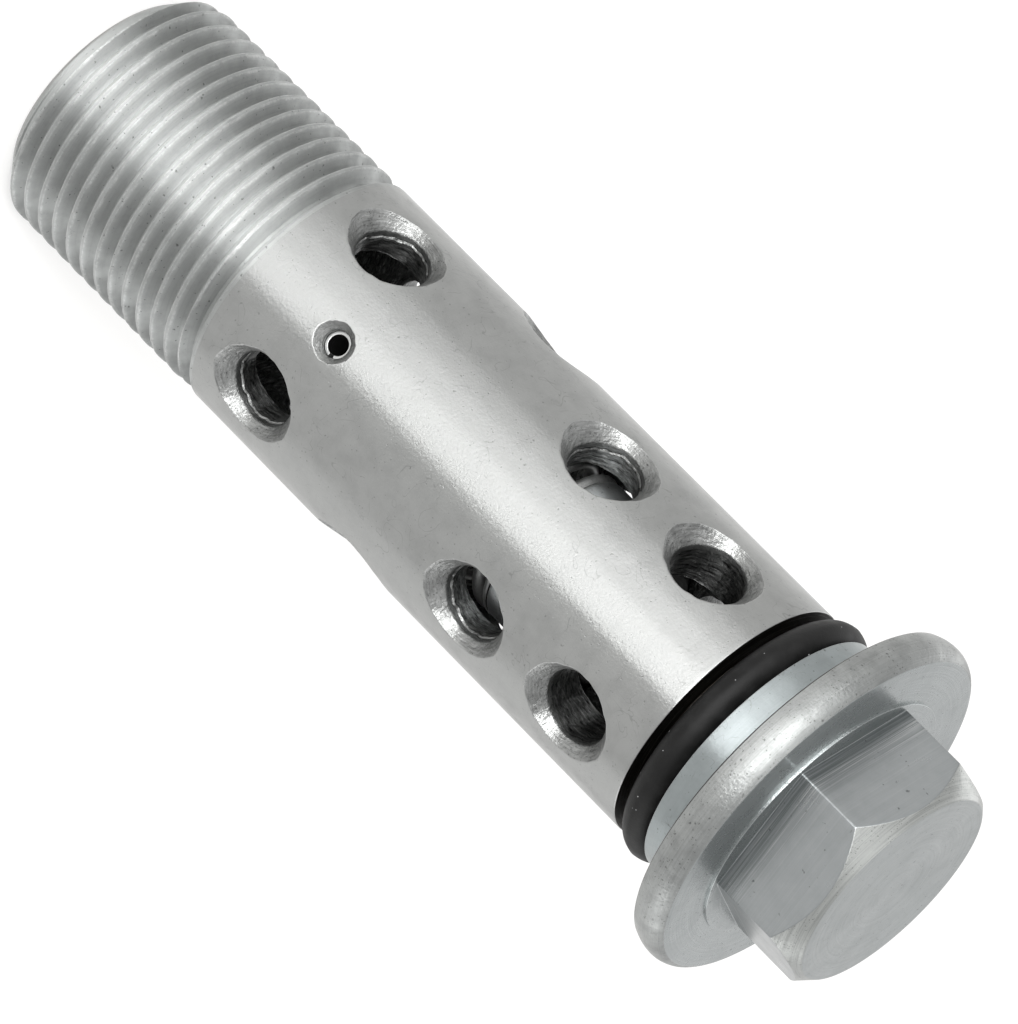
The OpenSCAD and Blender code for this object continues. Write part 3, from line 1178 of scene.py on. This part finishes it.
    def rows(self) -> list[float]:
        """Heights of the rows of oil holes in the main bore, and of the upper row."""
        return [self.first_row_z, self.side_row_z, self.second_row_z, self.third_row_z]

    def tube_levels(self) -> np.ndarray:
        """Heights of the plain tube's rows of points."""
        return self.levels(self.tube_start, self.tube_stop, self.rows(), self.window_h)

    def windows(self, upper: bool | None) -> list[tuple[int, int, float, float]]:
        """List the windows in a skin.

        Args:
            upper: True for the upper bore, False for the main bore, None for the outside.

        Returns:
            First and last column, and lowest and highest height, of each window.
        """
        found = []
        for hole, given, columns in self.holes():
            in_upper = hole.inner_radius == self.upper_bore_r
            if upper is not None and upper != in_upper:
                continue
            levels = hole.inner_levels if upper else hole.outer_levels
            left = round(hole.turns[0] / COLUMN_STEP)
            right = round(hole.turns[-1] / COLUMN_STEP)
            if hole.name == "pin_hole":
                left, right = self.pin_columns
            for row in range(given["Rows"]):
                base = (given["First Height"] + row * given["Row Spacing"]) * PER_METRE
                for column in columns:
                    found.append((column + left, column + right, base + levels[0], base + levels[-1]))
        return found

    def hex_outline(self) -> np.ndarray:
        """Outline of the hex with slightly rounded corners, one point for each column.

        Returns:
            Points in the plane, with the first one repeated at the end.
        """
        corner_r = self.hex_corner_r
        turns = self.hex_turn + np.arange(6) * math.pi / 3
        corners = ring(corner_r, 0, turns)[:, :2]
        per_side = COLUMNS // 6
        steps = ROUNDING_STEPS
        points = []
        for k in range(6):
            here = corners[k]
            ends = []
            for other in (corners[k - 1], corners[(k + 1) % 6]):
                away = other - here
                ends.append(here + away / np.linalg.norm(away) * self.corner_rounding)
            for t in np.linspace(0, 1, steps + 1):
                points.append((1 - t) ** 2 * ends[0] + 2 * t * (1 - t) * here + t**2 * ends[1])
            following = corners[(k + 1) % 6]
            away = here - following
            stop = following + away / np.linalg.norm(away) * self.corner_rounding
            side = np.linspace(ends[1], stop, per_side - steps + 1)[1:-1]
            points.extend(side)
        offset = round(self.hex_turn / COLUMN_STEP) - steps // 2
        loop = np.roll(np.array(points), offset, axis=0)
        return np.concatenate([loop, loop[:1]])

    def head_rows(self, turns: np.ndarray) -> tuple[np.ndarray, list[int]]:
        """Rows of points over the pad, up the hex, over its chamfer and across the end face.

        Args:
            turns: Turn of each column.

        Returns:
            The rows, and the material slot of each row of faces.
        """
        corner_r = self.hex_corner_r
        end_r = self.hex_af / 2 - self.end_inset
        pad_z = self.flange_z + self.flange_t + self.face_rise
        hex_z = pad_z + self.pad_h
        outline = self.hex_outline()
        reach = np.hypot(outline[:, 0], outline[:, 1])
        top = self.total - np.maximum(0.0, reach - end_r)

        def lifted(plan: np.ndarray, level: np.ndarray | float) -> np.ndarray:
            return np.column_stack([plan, np.broadcast_to(level, len(plan))])

        end_ring = outline / reach[:, None] * end_r
        # Rows a little beside an edge only keep the faces there narrow, so that they shade evenly
        controls = [
            ring(corner_r + self.pad_edge, pad_z, turns), ring(corner_r + self.pad_edge, hex_z, turns),
            lifted(outline * 1.015, hex_z), lifted(outline, hex_z), lifted(outline, hex_z + 0.15),
            lifted(outline, top - 1.0), lifted(outline, top), lifted(end_ring, self.total),
            lifted(end_ring * 0.88, self.total), lifted(end_ring * 0.02, self.total),
            lifted(end_ring * 0.0, self.total),
        ]
        roundings = [0, 0.04, 0, 0.06, 0, 0, 0.1, 0.08, 0, 0, 0]
        surfaces = [Surface.FLANGE_FACE] * 3 + [Surface.HEX] * 3 + [Surface.CHAMFER]
        surfaces += [Surface.END_FACE] * 3
        stretches = [surface.value for surface in surfaces]
        return rounded_rows(controls, roundings), section_slots(roundings, stretches)

    def build(self, materials: list[bpy.types.Material]) -> bpy.types.Object:
        """Build the whole body as one closed mesh.

        Args:
            materials: Material of each Surface, in order.

        Returns:
            The piece, which stands for the plain body.
        """
        skin = Skin("turned_bolt_body")
        turns = whole_turn()
        self.add_thread(skin, materials)
        self.add_outside(skin, turns)
        self.add_inside(skin, turns)
        pattern = hole_pattern_tree()
        for hole, given, _ in self.holes():
            skin.absorb(run_tree(pattern, given, hole.lining(materials)), materials)
        return skin.build(materials)

    def add_thread(self, skin: Skin, materials: list[bpy.types.Material]) -> None:
        """Add the thread, from the open end's chamfer to the floor of the run-out.

        Args:
            skin: Skin that gets the thread.
            materials: Material of each Surface, in order.
        """
        values = {
            "Pitch": self.pitch * MM, "Major Radius": self.shank_r * MM, "Depth": self.thread_depth * MM,
            "Crest Width": self.crest_width * MM, "First Crest": 0.0,
            "Lead Radius": (self.shank_r - self.lead_h) * MM,
            "Run-out Start": (self.run_out_floor - self.thread_depth / math.sqrt(3)) * MM,
            "Bottom": self.thread_bottom * MM, "Top": self.run_out_floor * MM, "Root Fillet": 0.45 * MM,
            "Crest Fillet": 0.03 * MM, "Nick Depth": 0.05 * MM,
            "Turns": math.ceil(self.thread_end / self.pitch) + 2, "Columns": COLUMNS, "Rows": 14,
            "Material": materials[Surface.THREAD.value],
        }
        skin.absorb(run_tree(thread_tree(), values), materials)

    def add_outside(self, skin: Skin, turns: np.ndarray) -> None:
        """Add the open end, the plain tube, the groove, the collar, the flange and the head.

        Args:
            skin: Skin that gets the surfaces.
            turns: Turn of each column.
        """
        root_r = self.shank_r - self.thread_depth
        lead_r = self.shank_r - self.lead_h
        open_end = turned_rows(
            [
                (lead_r + self.thread_bottom, self.thread_bottom, 0), (lead_r, 0.0, 0.1),
                (self.bore_r + self.mouth_chamfer, 0.0, 0.08), (self.bore_r, self.mouth_chamfer, 0),
            ],
            turns,
        )
        skin.add_grid(open_end, Surface.OPEN_END.value)
        run_out = turned_rows(
            [
                (root_r, self.run_out_floor, 0), (root_r, self.run_out_floor + self.pitch / 6, 0.08),
                (self.shank_r, self.thread_end, 0.12), (self.shank_r, self.tube_start, 0),
            ],
            turns,
        )
        skin.add_grid(run_out, Surface.THREAD.value)
        levels = self.tube_levels()
        tube = np.stack([ring(self.shank_r, level, turns) for level in levels])
        skin.add_grid(tube, Surface.TUBE.value, self.cut_windows(levels, self.windows(None)))
        groove_top = self.flange_z - self.collar_h
        groove_z = groove_top - self.groove_w
        groove = turned_rows(
            [
                (self.shank_r, self.tube_stop, 0), (self.shank_r, groove_z, 0.08),
                (self.groove_r, groove_z, 0.2), (self.groove_r, groove_top, 0.2),
                (self.collar_r - self.collar_edge, groove_top, 0),
            ],
            turns,
        )
        # The groove's walls and floor take its dark finish, partly old oil and partly painted shade
        slots = [Surface.TUBE.value] * 4
        slots += [Surface.GROOVE_AND_PAINTED_SHADE.value] * (len(groove) - 1 - len(slots))
        skin.add_grid(groove, slots)
        pad_r = self.hex_corner_r + self.pad_edge
        top_z = self.flange_z + self.flange_t
        rim_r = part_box("bolt_body")[1].x * PER_METRE
        face_r = rim_r - self.rim_to_face
        rim = [(rim_r - inset, self.flange_z + rise, edge) for inset, rise, edge in RIM_PROFILE]
        slope = (self.face_rise - self.pad_lead_h) / (face_r - pad_r - self.pad_lead)
        flange = [
            (self.collar_r - self.collar_edge, groove_top, 0), (self.collar_r, groove_top, 0.08),
            (self.collar_r, groove_top + self.collar_guard, 0),
            (self.collar_r, self.flange_z - self.collar_guard, 0),
            (self.collar_r, self.flange_z, 0.15), *rim, (face_r, top_z, 0.14),
            (rim_r - 1.5, top_z + 0.84 * slope, 0),
            (pad_r + self.pad_lead, top_z + self.face_rise - self.pad_lead_h, 0.2),
            (pad_r, top_z + self.face_rise, 0),
        ]
        # The flange's underside and the rim's lower edge take the groove's finish: painted shade, a dark
        # line between collar and rim
        surfaces = [Surface.COLLAR] * 4 + [Surface.GROOVE_AND_PAINTED_SHADE] * 2 + [Surface.RIM] * 5
        surfaces += [Surface.FLANGE_FACE] * 3
        stretches = [surface.value for surface in surfaces]
        slots = section_slots([rounding for _, _, rounding in flange], stretches)
        skin.add_grid(turned_rows(flange, turns), slots)
        rows, slots = self.head_rows(turns)
        skin.add_grid(rows, slots)

    def add_inside(self, skin: Skin, turns: np.ndarray) -> None:
        """Add the main bore, the valve seat, the upper bore and its drill point.

        Args:
            skin: Skin that gets the surfaces.
            turns: Turn of each column.
        """
        drilled = Surface.DRILLED.value
        half = self.window_h
        start = self.first_row_z - half
        stop = self.second_row_z + half
        lower = turned_rows([(self.bore_r, self.mouth_chamfer, 0), (self.bore_r, start, 0)], turns)
        skin.add_grid(lower, drilled)
        outer_levels = self.tube_levels()
        margin = 0.01
        levels = outer_levels[(outer_levels > start - margin) & (outer_levels < stop + margin)]
        bore = np.stack([ring(self.bore_r, level, turns) for level in levels])
        skin.add_grid(bore, drilled, self.cut_windows(levels, self.windows(False)))
        upper_levels = self.window(self.third_row_z, self.upper_window_h)
        seat = turned_rows(
            [
                (self.bore_r, stop, 0), (self.bore_r, self.seat_z, 0.15),
                (self.upper_bore_r, self.seat_z, 0.06), (self.upper_bore_r, upper_levels[0], 0),
            ],
            turns,
        )
        skin.add_grid(seat, drilled)
        upper = np.stack([ring(self.upper_bore_r, level, turns) for level in upper_levels])
        skin.add_grid(upper, drilled, self.cut_windows(upper_levels, self.windows(True)))
        tip = self.upper_bore_end + self.upper_bore_r / math.tan(DRILL_HALF_ANGLE)
        point = turned_rows(
            [
                (self.upper_bore_r, upper_levels[-1], 0), (self.upper_bore_r, self.upper_bore_end, 0),
                (0.0, tip, 0),
            ],
            turns,
        )
        skin.add_grid(point, drilled)


@dataclass
class SealingRing:
    """The O-ring, moulded in two halves, so that a fine parting line runs round it."""

    parting_line: float = 0.03
    parting_width: float = 0.12
    section_points: int = 40

    def build(self, material: bpy.types.Material) -> bpy.types.Object:
        """Build the ring.

        Args:
            material: Rubber of the ring.

        Returns:
            The piece.
        """
        low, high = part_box("o_ring")
        section_r = (high.z - low.z) / 2 * PER_METRE
        ring_r = high.x * PER_METRE - section_r
        middle = (high.z + low.z) / 2 * PER_METRE
        angles = np.linspace(0, FULL_TURN, self.section_points + 1)
        turns = whole_turn()
        rows = []
        for angle in angles:
            line = self.parting_line * math.exp(-((math.sin(angle) / self.parting_width) ** 2))
            reach = section_r - self.parting_line + line * (math.cos(angle) > 0)
            rows.append(ring(ring_r + reach * math.cos(angle), middle + reach * math.sin(angle), turns))
        skin = Skin("moulded_o_ring")
        skin.add_grid(np.stack(rows), 0)
        return skin.build([material])


@dataclass
class BypassValve:
    """The plunger, the spring that holds it on its seat, and the roll pin that carries the spring."""

    spigot_r: float = 5.1
    hollow_r: float = 3.7
    hollow_depth: float = 5.6
    spigot_h: float = 1.4
    body_h: float = 6.1
    pilot_r: float = 5.6
    pilot_chamfer: tuple[float, float] = (0.7, 0.6)
    wire_r: float = 0.45
    coil_play: float = 0.05
    free_coils: int = 5
    stroke: float = 10.0
    plunger_columns: int = 96
    pin_wall: float = 0.25
    pin_slot: float = 0.38
    pin_taper: float = 0.03
    slot_turn: float = math.radians(10)

    def build_plunger(self, materials: list[bpy.types.Material]) -> bpy.types.Object:
        """Build the turned plunger.

        Args:
            materials: Steel of the plunger's body, and of the pilot, which is darkened with painted
                shade.

        Returns:
            The piece.
        """
        low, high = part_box("bypass_plunger")
        body_r = high.x * PER_METRE
        foot = low.z * PER_METRE
        top = high.z * PER_METRE
        shoulder = foot + self.spigot_h
        seat = shoulder + self.body_h
        hollow_top = foot + self.hollow_depth
        tip = hollow_top + self.hollow_r / math.tan(DRILL_HALF_ANGLE)
        profile = [
            (0.0, tip, 0), (self.hollow_r, hollow_top, 0.1), (self.hollow_r, foot, 0.1),
            (self.spigot_r, foot, 0.2), (self.spigot_r, shoulder, 0.1), (body_r, shoulder, 0.3),
            (body_r, seat, 0.12), (self.pilot_r, seat, 0.08),
            (self.pilot_r, top - self.pilot_chamfer[1], 0.1),
            (self.pilot_r - self.pilot_chamfer[0], top, 0.1), (0.0, top, 0),
        ]
        skin = Skin("turned_plunger")
        # The pilot's rows take the second steel, with its painted shade
        slots = section_slots([rounding for _, _, rounding in profile], [0] * 7 + [1] * 3)
        skin.add_grid(turned_rows(profile, whole_turn(self.plunger_columns)), slots)
        return skin.build(materials)

    def build_spring(self, material: bpy.types.Material) -> bpy.types.Object:
        """Build the coil spring.

        Args:
            material: Wire of the spring.

        Returns:
            The piece.
        """
        low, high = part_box("bypass_spring")
        length = high.z - low.z
        values = {
            "Foot": low.z, "Length": length, "Coil Radius": high.x - self.wire_r * MM,
            "Wire Radius": self.wire_r * MM, "Closed Pitch": (2 * self.wire_r + self.coil_play) * MM,
            "Free Coils": self.free_coils, "Steps": 48, "Material": material,
        }
        mesh = run_tree(coil_tree(), values)
        spring = place("wound_spring", welded(mesh))
        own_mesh(spring)
        return spring

    def build_pin(self, materials: list[bpy.types.Material]) -> bpy.types.Object:
        """Build the rolled spring pin across the tube.

        Args:
            materials: Steel of the pin's sides, darkened with painted shade, and of its sheared ends.

        Returns:
            The piece.
        """
        low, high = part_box("roll_pin")
        outer = (high.z - low.z) / 2 * PER_METRE
        middle = (high.z + low.z) / 2 * PER_METRE
        half = high.y / math.cos(PIN_TURN) * PER_METRE
        inner = outer - self.pin_wall
        taper = self.pin_taper
        slot = 2 * math.asin(self.pin_slot / (2 * outer - self.pin_wall))
        angles = np.linspace(0, FULL_TURN - slot, 41) + self.slot_turn + slot / 2
        profile = [
            (inner, 0.0, 0), (inner, half, 0.05), (outer - taper, half, 0.02),
            (outer, half - 2 * taper, 0.02), (outer, -half + 2 * taper, 0.02),
            (outer - taper, -half, 0.02), (inner, -half, 0.05), (inner, 0.0, 0),
        ]
        controls = [
            np.stack(
                [radius * np.cos(angles), np.full_like(angles, -along), radius * np.sin(angles)], axis=-1,
            )
            for radius, along, _ in profile
        ]
        roundings = [rounding for _, _, rounding in profile]
        rows = rounded_rows(controls, roundings)
        turn = np.array(Matrix.Rotation(PIN_TURN, 3, "Z"))
        rows = rows @ turn.T + np.array([0.0, 0.0, middle])
        skin = Skin("rolled_pin")
        skin.add_grid(rows, section_slots(roundings, [0, 1, 1, 0, 1, 1, 0]))
        skin.add_outline(rows[:-1, 0], 0)
        skin.add_outline(rows[:-1, -1], 0)
        return skin.build(materials)


@dataclass
class Studio:
    """Pale floor, soft lamps and the camera at the photograph's angle."""

    focal_px: float = 7877.68
    image_px: tuple[int, int] = (1018, 1024)
    distance: float = 533.13
    elevation: float = math.radians(21.08)
    azimuth: float = math.radians(-1.2)
    roll: float = math.radians(45.27)
    target: tuple[float, float] = (0.401, 43.114)
    sensor_mm: float = 36.0
    floor_radius: float = 4.0
    floor_pale: str = "#F4F3F1"
    floor_white: float = 0.5
    room_light: float = 0.8
    key_distance: float = 0.9
    front_light: float = 3.45
    side_light: float = 2.0
    top_light: float = 0.5
    panel_elevation: float = 14
    panel_height: float = 0.44
    top_length: float = 0.9
    top_height: float = 0.95
    shadow_light: float = 110.0

    def build(self) -> None:
        """Make the floor, the world, the lamps and the camera."""
        self.build_camera()
        self.build_floor()
        self.build_world()
        self.build_lamps()
        bpy.context.scene.view_settings.view_transform = "Standard"

    def build_camera(self) -> None:
        """Place the camera, rolled so that the upright bolt crosses the picture from corner to corner."""
        camera = bpy.data.cameras.new("camera")
        camera.sensor_fit = "HORIZONTAL"
        camera.sensor_width = self.sensor_mm
        camera.lens = self.focal_px / self.image_px[0] * self.sensor_mm
        turn = Matrix.Rotation(self.azimuth, 3, "Z")
        right = turn @ Vector((1, 0, 0))
        back = turn @ Vector((0, -math.cos(self.elevation), math.sin(self.elevation)))
        up = back.cross(right)
        target = turn @ Vector((self.target[0], 0, self.target[1])) * MM
        spin = self.roll
        picture_right = math.cos(spin) * up - math.sin(spin) * right
        picture_up = -(math.sin(spin) * up + math.cos(spin) * right)
        axes = Matrix((picture_right, picture_up, back)).transposed().to_4x4()
        obj = bpy.data.objects.new("camera", camera)
        obj.matrix_world = Matrix.Translation(target + back * self.distance * MM) @ axes
        bpy.context.scene.collection.objects.link(obj)
        bpy.context.scene.camera = obj

    def build_floor(self) -> None:
        """Make the floor: pale, with a soft shadow."""
        material, tree = new_material("pale_floor")
        colour = linear(self.floor_pale)
        add = partial(add_node, tree)
        matt = add("ShaderNodeBsdfDiffuse", named={"Color": colour})
        white = add("ShaderNodeEmission", named={"Color": (1, 1, 1, 1), "Strength": 1.0})
        seen = add(MATH, self.looking(tree), self.floor_white, operation="MULTIPLY")
        mixed = add("ShaderNodeMixShader", seen, matt, white)
        add("ShaderNodeOutputMaterial", out=None, named={"Surface": mixed})
        skin = Skin("floor")
        turns = whole_turn(64)
        below = -0.05
        radius = self.floor_radius * PER_METRE
        skin.add_grid(np.stack([ring(0.0, below, turns), ring(radius, below, turns)]), 0)
        mesh = skin.mesh([material])
        place("floor", mesh)

    def looking(self, tree: bpy.types.NodeTree) -> bpy.types.NodeSocket:
        """Tell the rays that show the surroundings from those that only carry light.

        Args:
            tree: Tree of the material or the world.

        Returns:
            Socket that is 1 for the camera, for a reflection and for a view through glass.
        """
        path = add_node(tree, "ShaderNodeLightPath", out=None)
        shown = path["Is Camera Ray"]
        for kind in ("Is Glossy Ray", "Is Transmission Ray"):
            shown = add_node(tree, MATH, shown, path[kind], operation="MAXIMUM")
        return shown

    def build_world(self) -> None:
        """Light the scene evenly, in front of a white backdrop that metal shows too."""
        world = bpy.data.worlds.new("studio")
        bpy.context.scene.world = world
        world.use_nodes = True
        tree = world.node_tree
        tree.nodes.clear()
        add = partial(add_node, tree)
        light = add(MIX, self.looking(tree), named={2: self.room_light, 3: 1.0}, data_type="FLOAT")
        sky = add("ShaderNodeBackground", named={"Color": (1, 1, 1, 1), "Strength": light})
        add("ShaderNodeOutputWorld", out=None, named={"Surface": sky})

    def build_lamps(self) -> None:
        """Hang the soft lamps: nested panels in front, one at each side, and nested ones overhead."""
        right = 16
        for index, left in enumerate((-16, -38, -58)):
            half = (right - left) / 2
            self.add_panel(f"front_panel_{index}", left + half, half, self.front_light)
        for name, turn, half, share in (("right_panel", 112, 18, 1.0), ("left_panel", -145, 15, 0.55)):
            self.add_panel(name, turn, half, share * self.side_light)
        right = 0.12
        for index, left in enumerate((-0.06, -0.2, -0.38)):
            width = right - left
            self.add_overhead(f"top_panel_{index}", left + width / 2, width)
        shadow_lamp = self.add_lamp(
            "shadow_lamp", turn=-7, elevation=23, distance=1.0, size=(0.14, 0.14),
            radiance=self.shadow_light,
        )
        shadow_lamp.visible_glossy = False

    def hang(self, name: str, size: tuple[float, float], radiance: float) -> bpy.types.Object:
        """Add a rectangular lamp to the scene.

        Args:
            name: Name of the lamp.
            size: Width and height in metres.
            radiance: Brightness of its face.

        Returns:
            The lamp, at the origin, facing down.
        """
        lamp = bpy.data.lights.new(name, "AREA")
        lamp.shape = "RECTANGLE"
        lamp.size, lamp.size_y = size
        lamp.energy = radiance * math.pi * size[0] * size[1]
        obj = bpy.data.objects.new(name, lamp)
        bpy.context.scene.collection.objects.link(obj)
        return obj

    def add_overhead(self, name: str, side: float, width: float) -> None:
        """Add a lamp that hangs level over the bolt.

        Args:
            name: Name of the lamp.
            side: Distance of its middle from the bolt's axis, towards +X, in metres.
            width: Width in metres.
        """
        lamp = self.hang(name, (width, self.top_length), self.top_light)
        lamp.location = (side, 0, self.top_height)

    def add_panel(self, name: str, turn: float, half: float, radiance: float) -> None:
        """Add an upright panel at the key distance.

        Args:
            name: Name of the panel.
            turn: Turn of its middle about the bolt, in degrees.
            half: Half the angle that it spans, in degrees.
            radiance: Brightness of its face.
        """
        width = 2 * self.key_distance * math.tan(math.radians(half))
        size = (width, self.panel_height)
        self.add_lamp(name, turn, self.panel_elevation, self.key_distance, size, radiance)

    def add_lamp(
        self, name: str, turn: float, elevation: float, distance: float, size: tuple[float, float],
        radiance: float,
    ) -> bpy.types.Object:
        """Add a rectangular lamp that faces the middle of the bolt.

        Args:
            name: Name of the lamp.
            turn: Turn of the lamp about the bolt, in degrees.
            elevation: Angle over the horizon, in degrees.
            distance: Distance from the middle of the bolt, in metres.
            size: Width and height in metres.
            radiance: Brightness of its face.

        Returns:
            The lamp.
        """
        obj = self.hang(name, size, radiance)
        level = math.cos(math.radians(elevation))
        spin = math.radians(turn)
        towards = Vector(
            (math.sin(spin) * level, -math.cos(spin) * level, math.sin(math.radians(elevation)))
        )
        middle = Vector((0, 0, self.target[1] * MM))
        obj.location = middle + towards * distance
        obj.rotation_euler = towards.to_track_quat("Z", "Y").to_euler()
        return obj


def body_finishes() -> dict[Surface, PlatedSteel]:
    """List the finish of each surface of the bolt's body.

    Returns:
        Surface to its finish.
    """
    return {
        # Polished tube under clear zinc: a soft mirror that the fine turning stretches along the bolt
        Surface.TUBE: PlatedSteel(
            "zinc_on_polished_tube", roughness=0.32, anisotropy=0.95, marks=Marks.HEIGHT,
            ring_spacing_mm=0.07, ring_depth=0.03, ring_tone=0.04, hairlines=0.45, pit_spacing_mm=0.55,
            pit_share=0.5, pit_tone=0.35, speck_size=0.15, grain=1.1, wear=0.1, scuffs=0.35,
        ),
        # Cut thread, then plated: duller flanks, and crests worn bright
        Surface.THREAD: PlatedSteel(
            "zinc_on_cut_thread", plate="#A7A9A8", roughness=0.54, anisotropy=0.9, ring_spacing_mm=0.1,
            ring_depth=0.1, pit_share=0.2, speck_size=0.16, grain=0.6, wear=0.8, wear_limit=0.36,
            scuffs=0.12,
        ),
        # Countersink from a chattering tool: torn rings, dark in the marks and bright on the ridges
        Surface.COUNTERSINK: PlatedSteel(
            "zinc_on_countersink", plate="#8E8F8E", stain="#393A39", roughness=0.42, anisotropy=0.2,
            ring_spacing_mm=0.12, ring_length_mm=1.0, ring_depth=1.3, ring_tone=0.5, pit_spacing_mm=0.35,
            pit_share=0.55, pit_tone=0.8, grain=4.0, mottle=0.5, wear=0.15, scuffs=0.4,
        ),
        # Drilled steel that the plate hardly reached, darkened further as painted shade in the holes and
        # the bore: dark, torn rings with bright ridges
        Surface.DRILLED: PlatedSteel(
            "drilled_steel_and_painted_shade", plate="#787978", stain="#161616", worn="#C8C9C8", roughness=0.38,
            anisotropy=0.2, ring_spacing_mm=0.2, ring_length_mm=0.9, ring_depth=3.5, ring_tone=1.2,
            pit_spacing_mm=0.4, pit_share=0.4, grain=4.0, wear=1.0, wear_limit=0.25, mottle=0.5,
        ),
        # Groove with old oil in it, plus painted shade where it lies deep beside the rubber: nearly black
        # beside the rubber. The same finish is painted shade on the flange's underside and the rim's
        # lower edge
        Surface.GROOVE_AND_PAINTED_SHADE: PlatedSteel(
            "oil_and_painted_shade_groove", plate="#312E2A", stain="#181511", roughness=0.4, ring_depth=0.5,
            ring_tone=0.6, wear=0.1,
        ),
        # Fine turned collar: a cool plate with one narrow bright band
        Surface.COLLAR: PlatedSteel(
            "zinc_on_turned_collar", plate="#8E9495", roughness=0.36, anisotropy=0.92, marks=Marks.HEIGHT,
            ring_spacing_mm=0.07, ring_depth=0.05, ring_tone=0.08, hairlines=0.5, pit_spacing_mm=0.5,
            pit_share=0.3, speck_size=0.13, grain=0.8, wear=0.3, scuffs=0.3,
        ),
        # Rim tumbled before plating: satin, and knocked and pitted all round
        Surface.RIM: PlatedSteel(
            "zinc_on_tumbled_rim", plate="#959796", stain="#515252", roughness=0.44, anisotropy=0.85,
            ring_spacing_mm=0.08, ring_depth=0.15, ring_tone=0.2, pit_spacing_mm=0.4, pit_share=0.6,
            pit_tone=0.6, speck_size=0.2, grain=2.2, wear=0.4, scuffs=0.9, mottle=0.3,
        ),
        # Faced flange: rings round the axis fan the light out over the face
        Surface.FLANGE_FACE: PlatedSteel(
            "zinc_on_faced_flange", plate="#9B9F9F", stain="#595F60", roughness=0.27, anisotropy=0.8,
            marks=Marks.RADIUS, ring_spacing_mm=0.09, ring_depth=0.12, ring_tone=0.25, pit_share=0.25,
            speck_size=0.15, grain=0.8, wear=0.1, scuffs=0.8,
        ),
        # Cold drawn flats: smooth and cool, with ground streaks near the flange and bright corners
        Surface.HEX: PlatedSteel(
            "zinc_on_drawn_hex", plate="#8A8D8E", stain="#5A6060", roughness=0.3, anisotropy=0.3,
            marks=Marks.HEIGHT, ring_spacing_mm=0.14, ring_length_mm=14.0, ring_depth=0.08, ring_tone=0.1,
            ground_below_mm=76.6, pit_spacing_mm=0.9, pit_share=0.3, speck_size=0.13, wear=0.5,
            wear_limit=0.34, scuffs=0.2,
        ),
        # Chamfer turned on the hex: coarse rings, worn light at the corners
        Surface.CHAMFER: PlatedSteel(
            "zinc_on_turned_chamfer", plate="#9EA09E", stain="#5A5C5B", roughness=0.36, anisotropy=0.7,
            marks=Marks.RADIUS, ring_spacing_mm=0.1, ring_depth=0.5, ring_tone=0.45, pit_spacing_mm=0.35,
            pit_share=0.35, speck_size=0.18, grain=1.2, wear=0.6, wear_limit=0.3, scuffs=0.9,
        ),
        # Faced end: matt rings and many small pits
        Surface.END_FACE: PlatedSteel(
            "zinc_on_faced_end", plate="#9FA2A2", stain="#717675", roughness=0.38, anisotropy=0.5,
            marks=Marks.RADIUS, ring_spacing_mm=0.14, ring_depth=0.25, ring_tone=0.25, pit_spacing_mm=0.4,
            pit_share=0.6, pit_tone=0.5, speck_size=0.16, grain=0.8, wear=0.3, scuffs=0.9, mottle=0.12,
        ),
        # Open end, parted off and chamfered: plain turned rings
        Surface.OPEN_END: PlatedSteel(
            "zinc_on_open_end", ring_spacing_mm=0.12, ring_depth=0.4, ring_tone=0.3, pit_spacing_mm=0.4,
            pit_share=0.3, scuffs=0.5,
        ),
    }


def main() -> None:
    """Build every piece, give it its finish and its body, and set up the studio."""
    logging.basicConfig(level=logging.INFO, format="%(name)s: %(message)s")
    finishes = body_finishes()
    materials = [finishes[surface].build() for surface in Surface]
    bolt = BoltBody().build(materials)
    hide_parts("bolt_body")
    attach(bolt, "bolt")

    o_ring = SealingRing().build(MouldedRubber().build())
    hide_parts("o_ring")
    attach(o_ring, "bolt")

    valve = BypassValve()
    plunger_steels = [
        # Bright turned steel: the clean silver that shows through the middle row of holes
        PlatedSteel(
            "fine_turned_steel", plate="#B8BBBC", roughness=0.42, ring_spacing_mm=0.1, ring_depth=0.3,
            grain=0.6,
        ).build(),
        # The same steel, brown-black and dull on the pilot: painted shade where it stands in the upper
        # bore
        PlatedSteel(
            "pilot_painted_shade_steel", plate="#242422", stain="#151413", roughness=0.6, ring_spacing_mm=0.1,
            ring_depth=0.3,
        ).build(),
    ]
    # Spring wire tempered in oil, dark, and darker still as painted shade inside the bore, with a faint
    # sheen along the coil
    wire_steel = PlatedSteel(
        "oil_tempered_wire_and_painted_shade", plate="#262524", stain="#161615", roughness=0.5, ring_spacing_mm=0.2,
        ring_depth=0.1,
    ).build()
    pin_steels = [
        # Rolled and phosphated strip, dark grey and matt, and darker still as painted shade on the sides
        # that lie in the bore
        PlatedSteel(
            "phosphated_pin_and_painted_shade", plate="#3E3E3E", stain="#232322", roughness=0.5, ring_depth=0.1,
        ).build(),
        # Sheared edge of the strip: bare and bright, so that the pin shows as a light ring
        PlatedSteel(
            "sheared_pin_end", plate="#AAABAA", roughness=0.4, ring_depth=0.2, scuffs=0.1,
        ).build(),
    ]
    plunger = valve.build_plunger(plunger_steels)
    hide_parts("bypass_plunger")
    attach(plunger, "plunger")
    spring = valve.build_spring(wire_steel)
    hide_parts("bypass_spring")
    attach(spring, "bolt")
    pin = valve.build_pin(pin_steels)
    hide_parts("roll_pin")
    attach(pin, "bolt")

    Studio().build()
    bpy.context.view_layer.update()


if __name__ == "__main__":
    main()
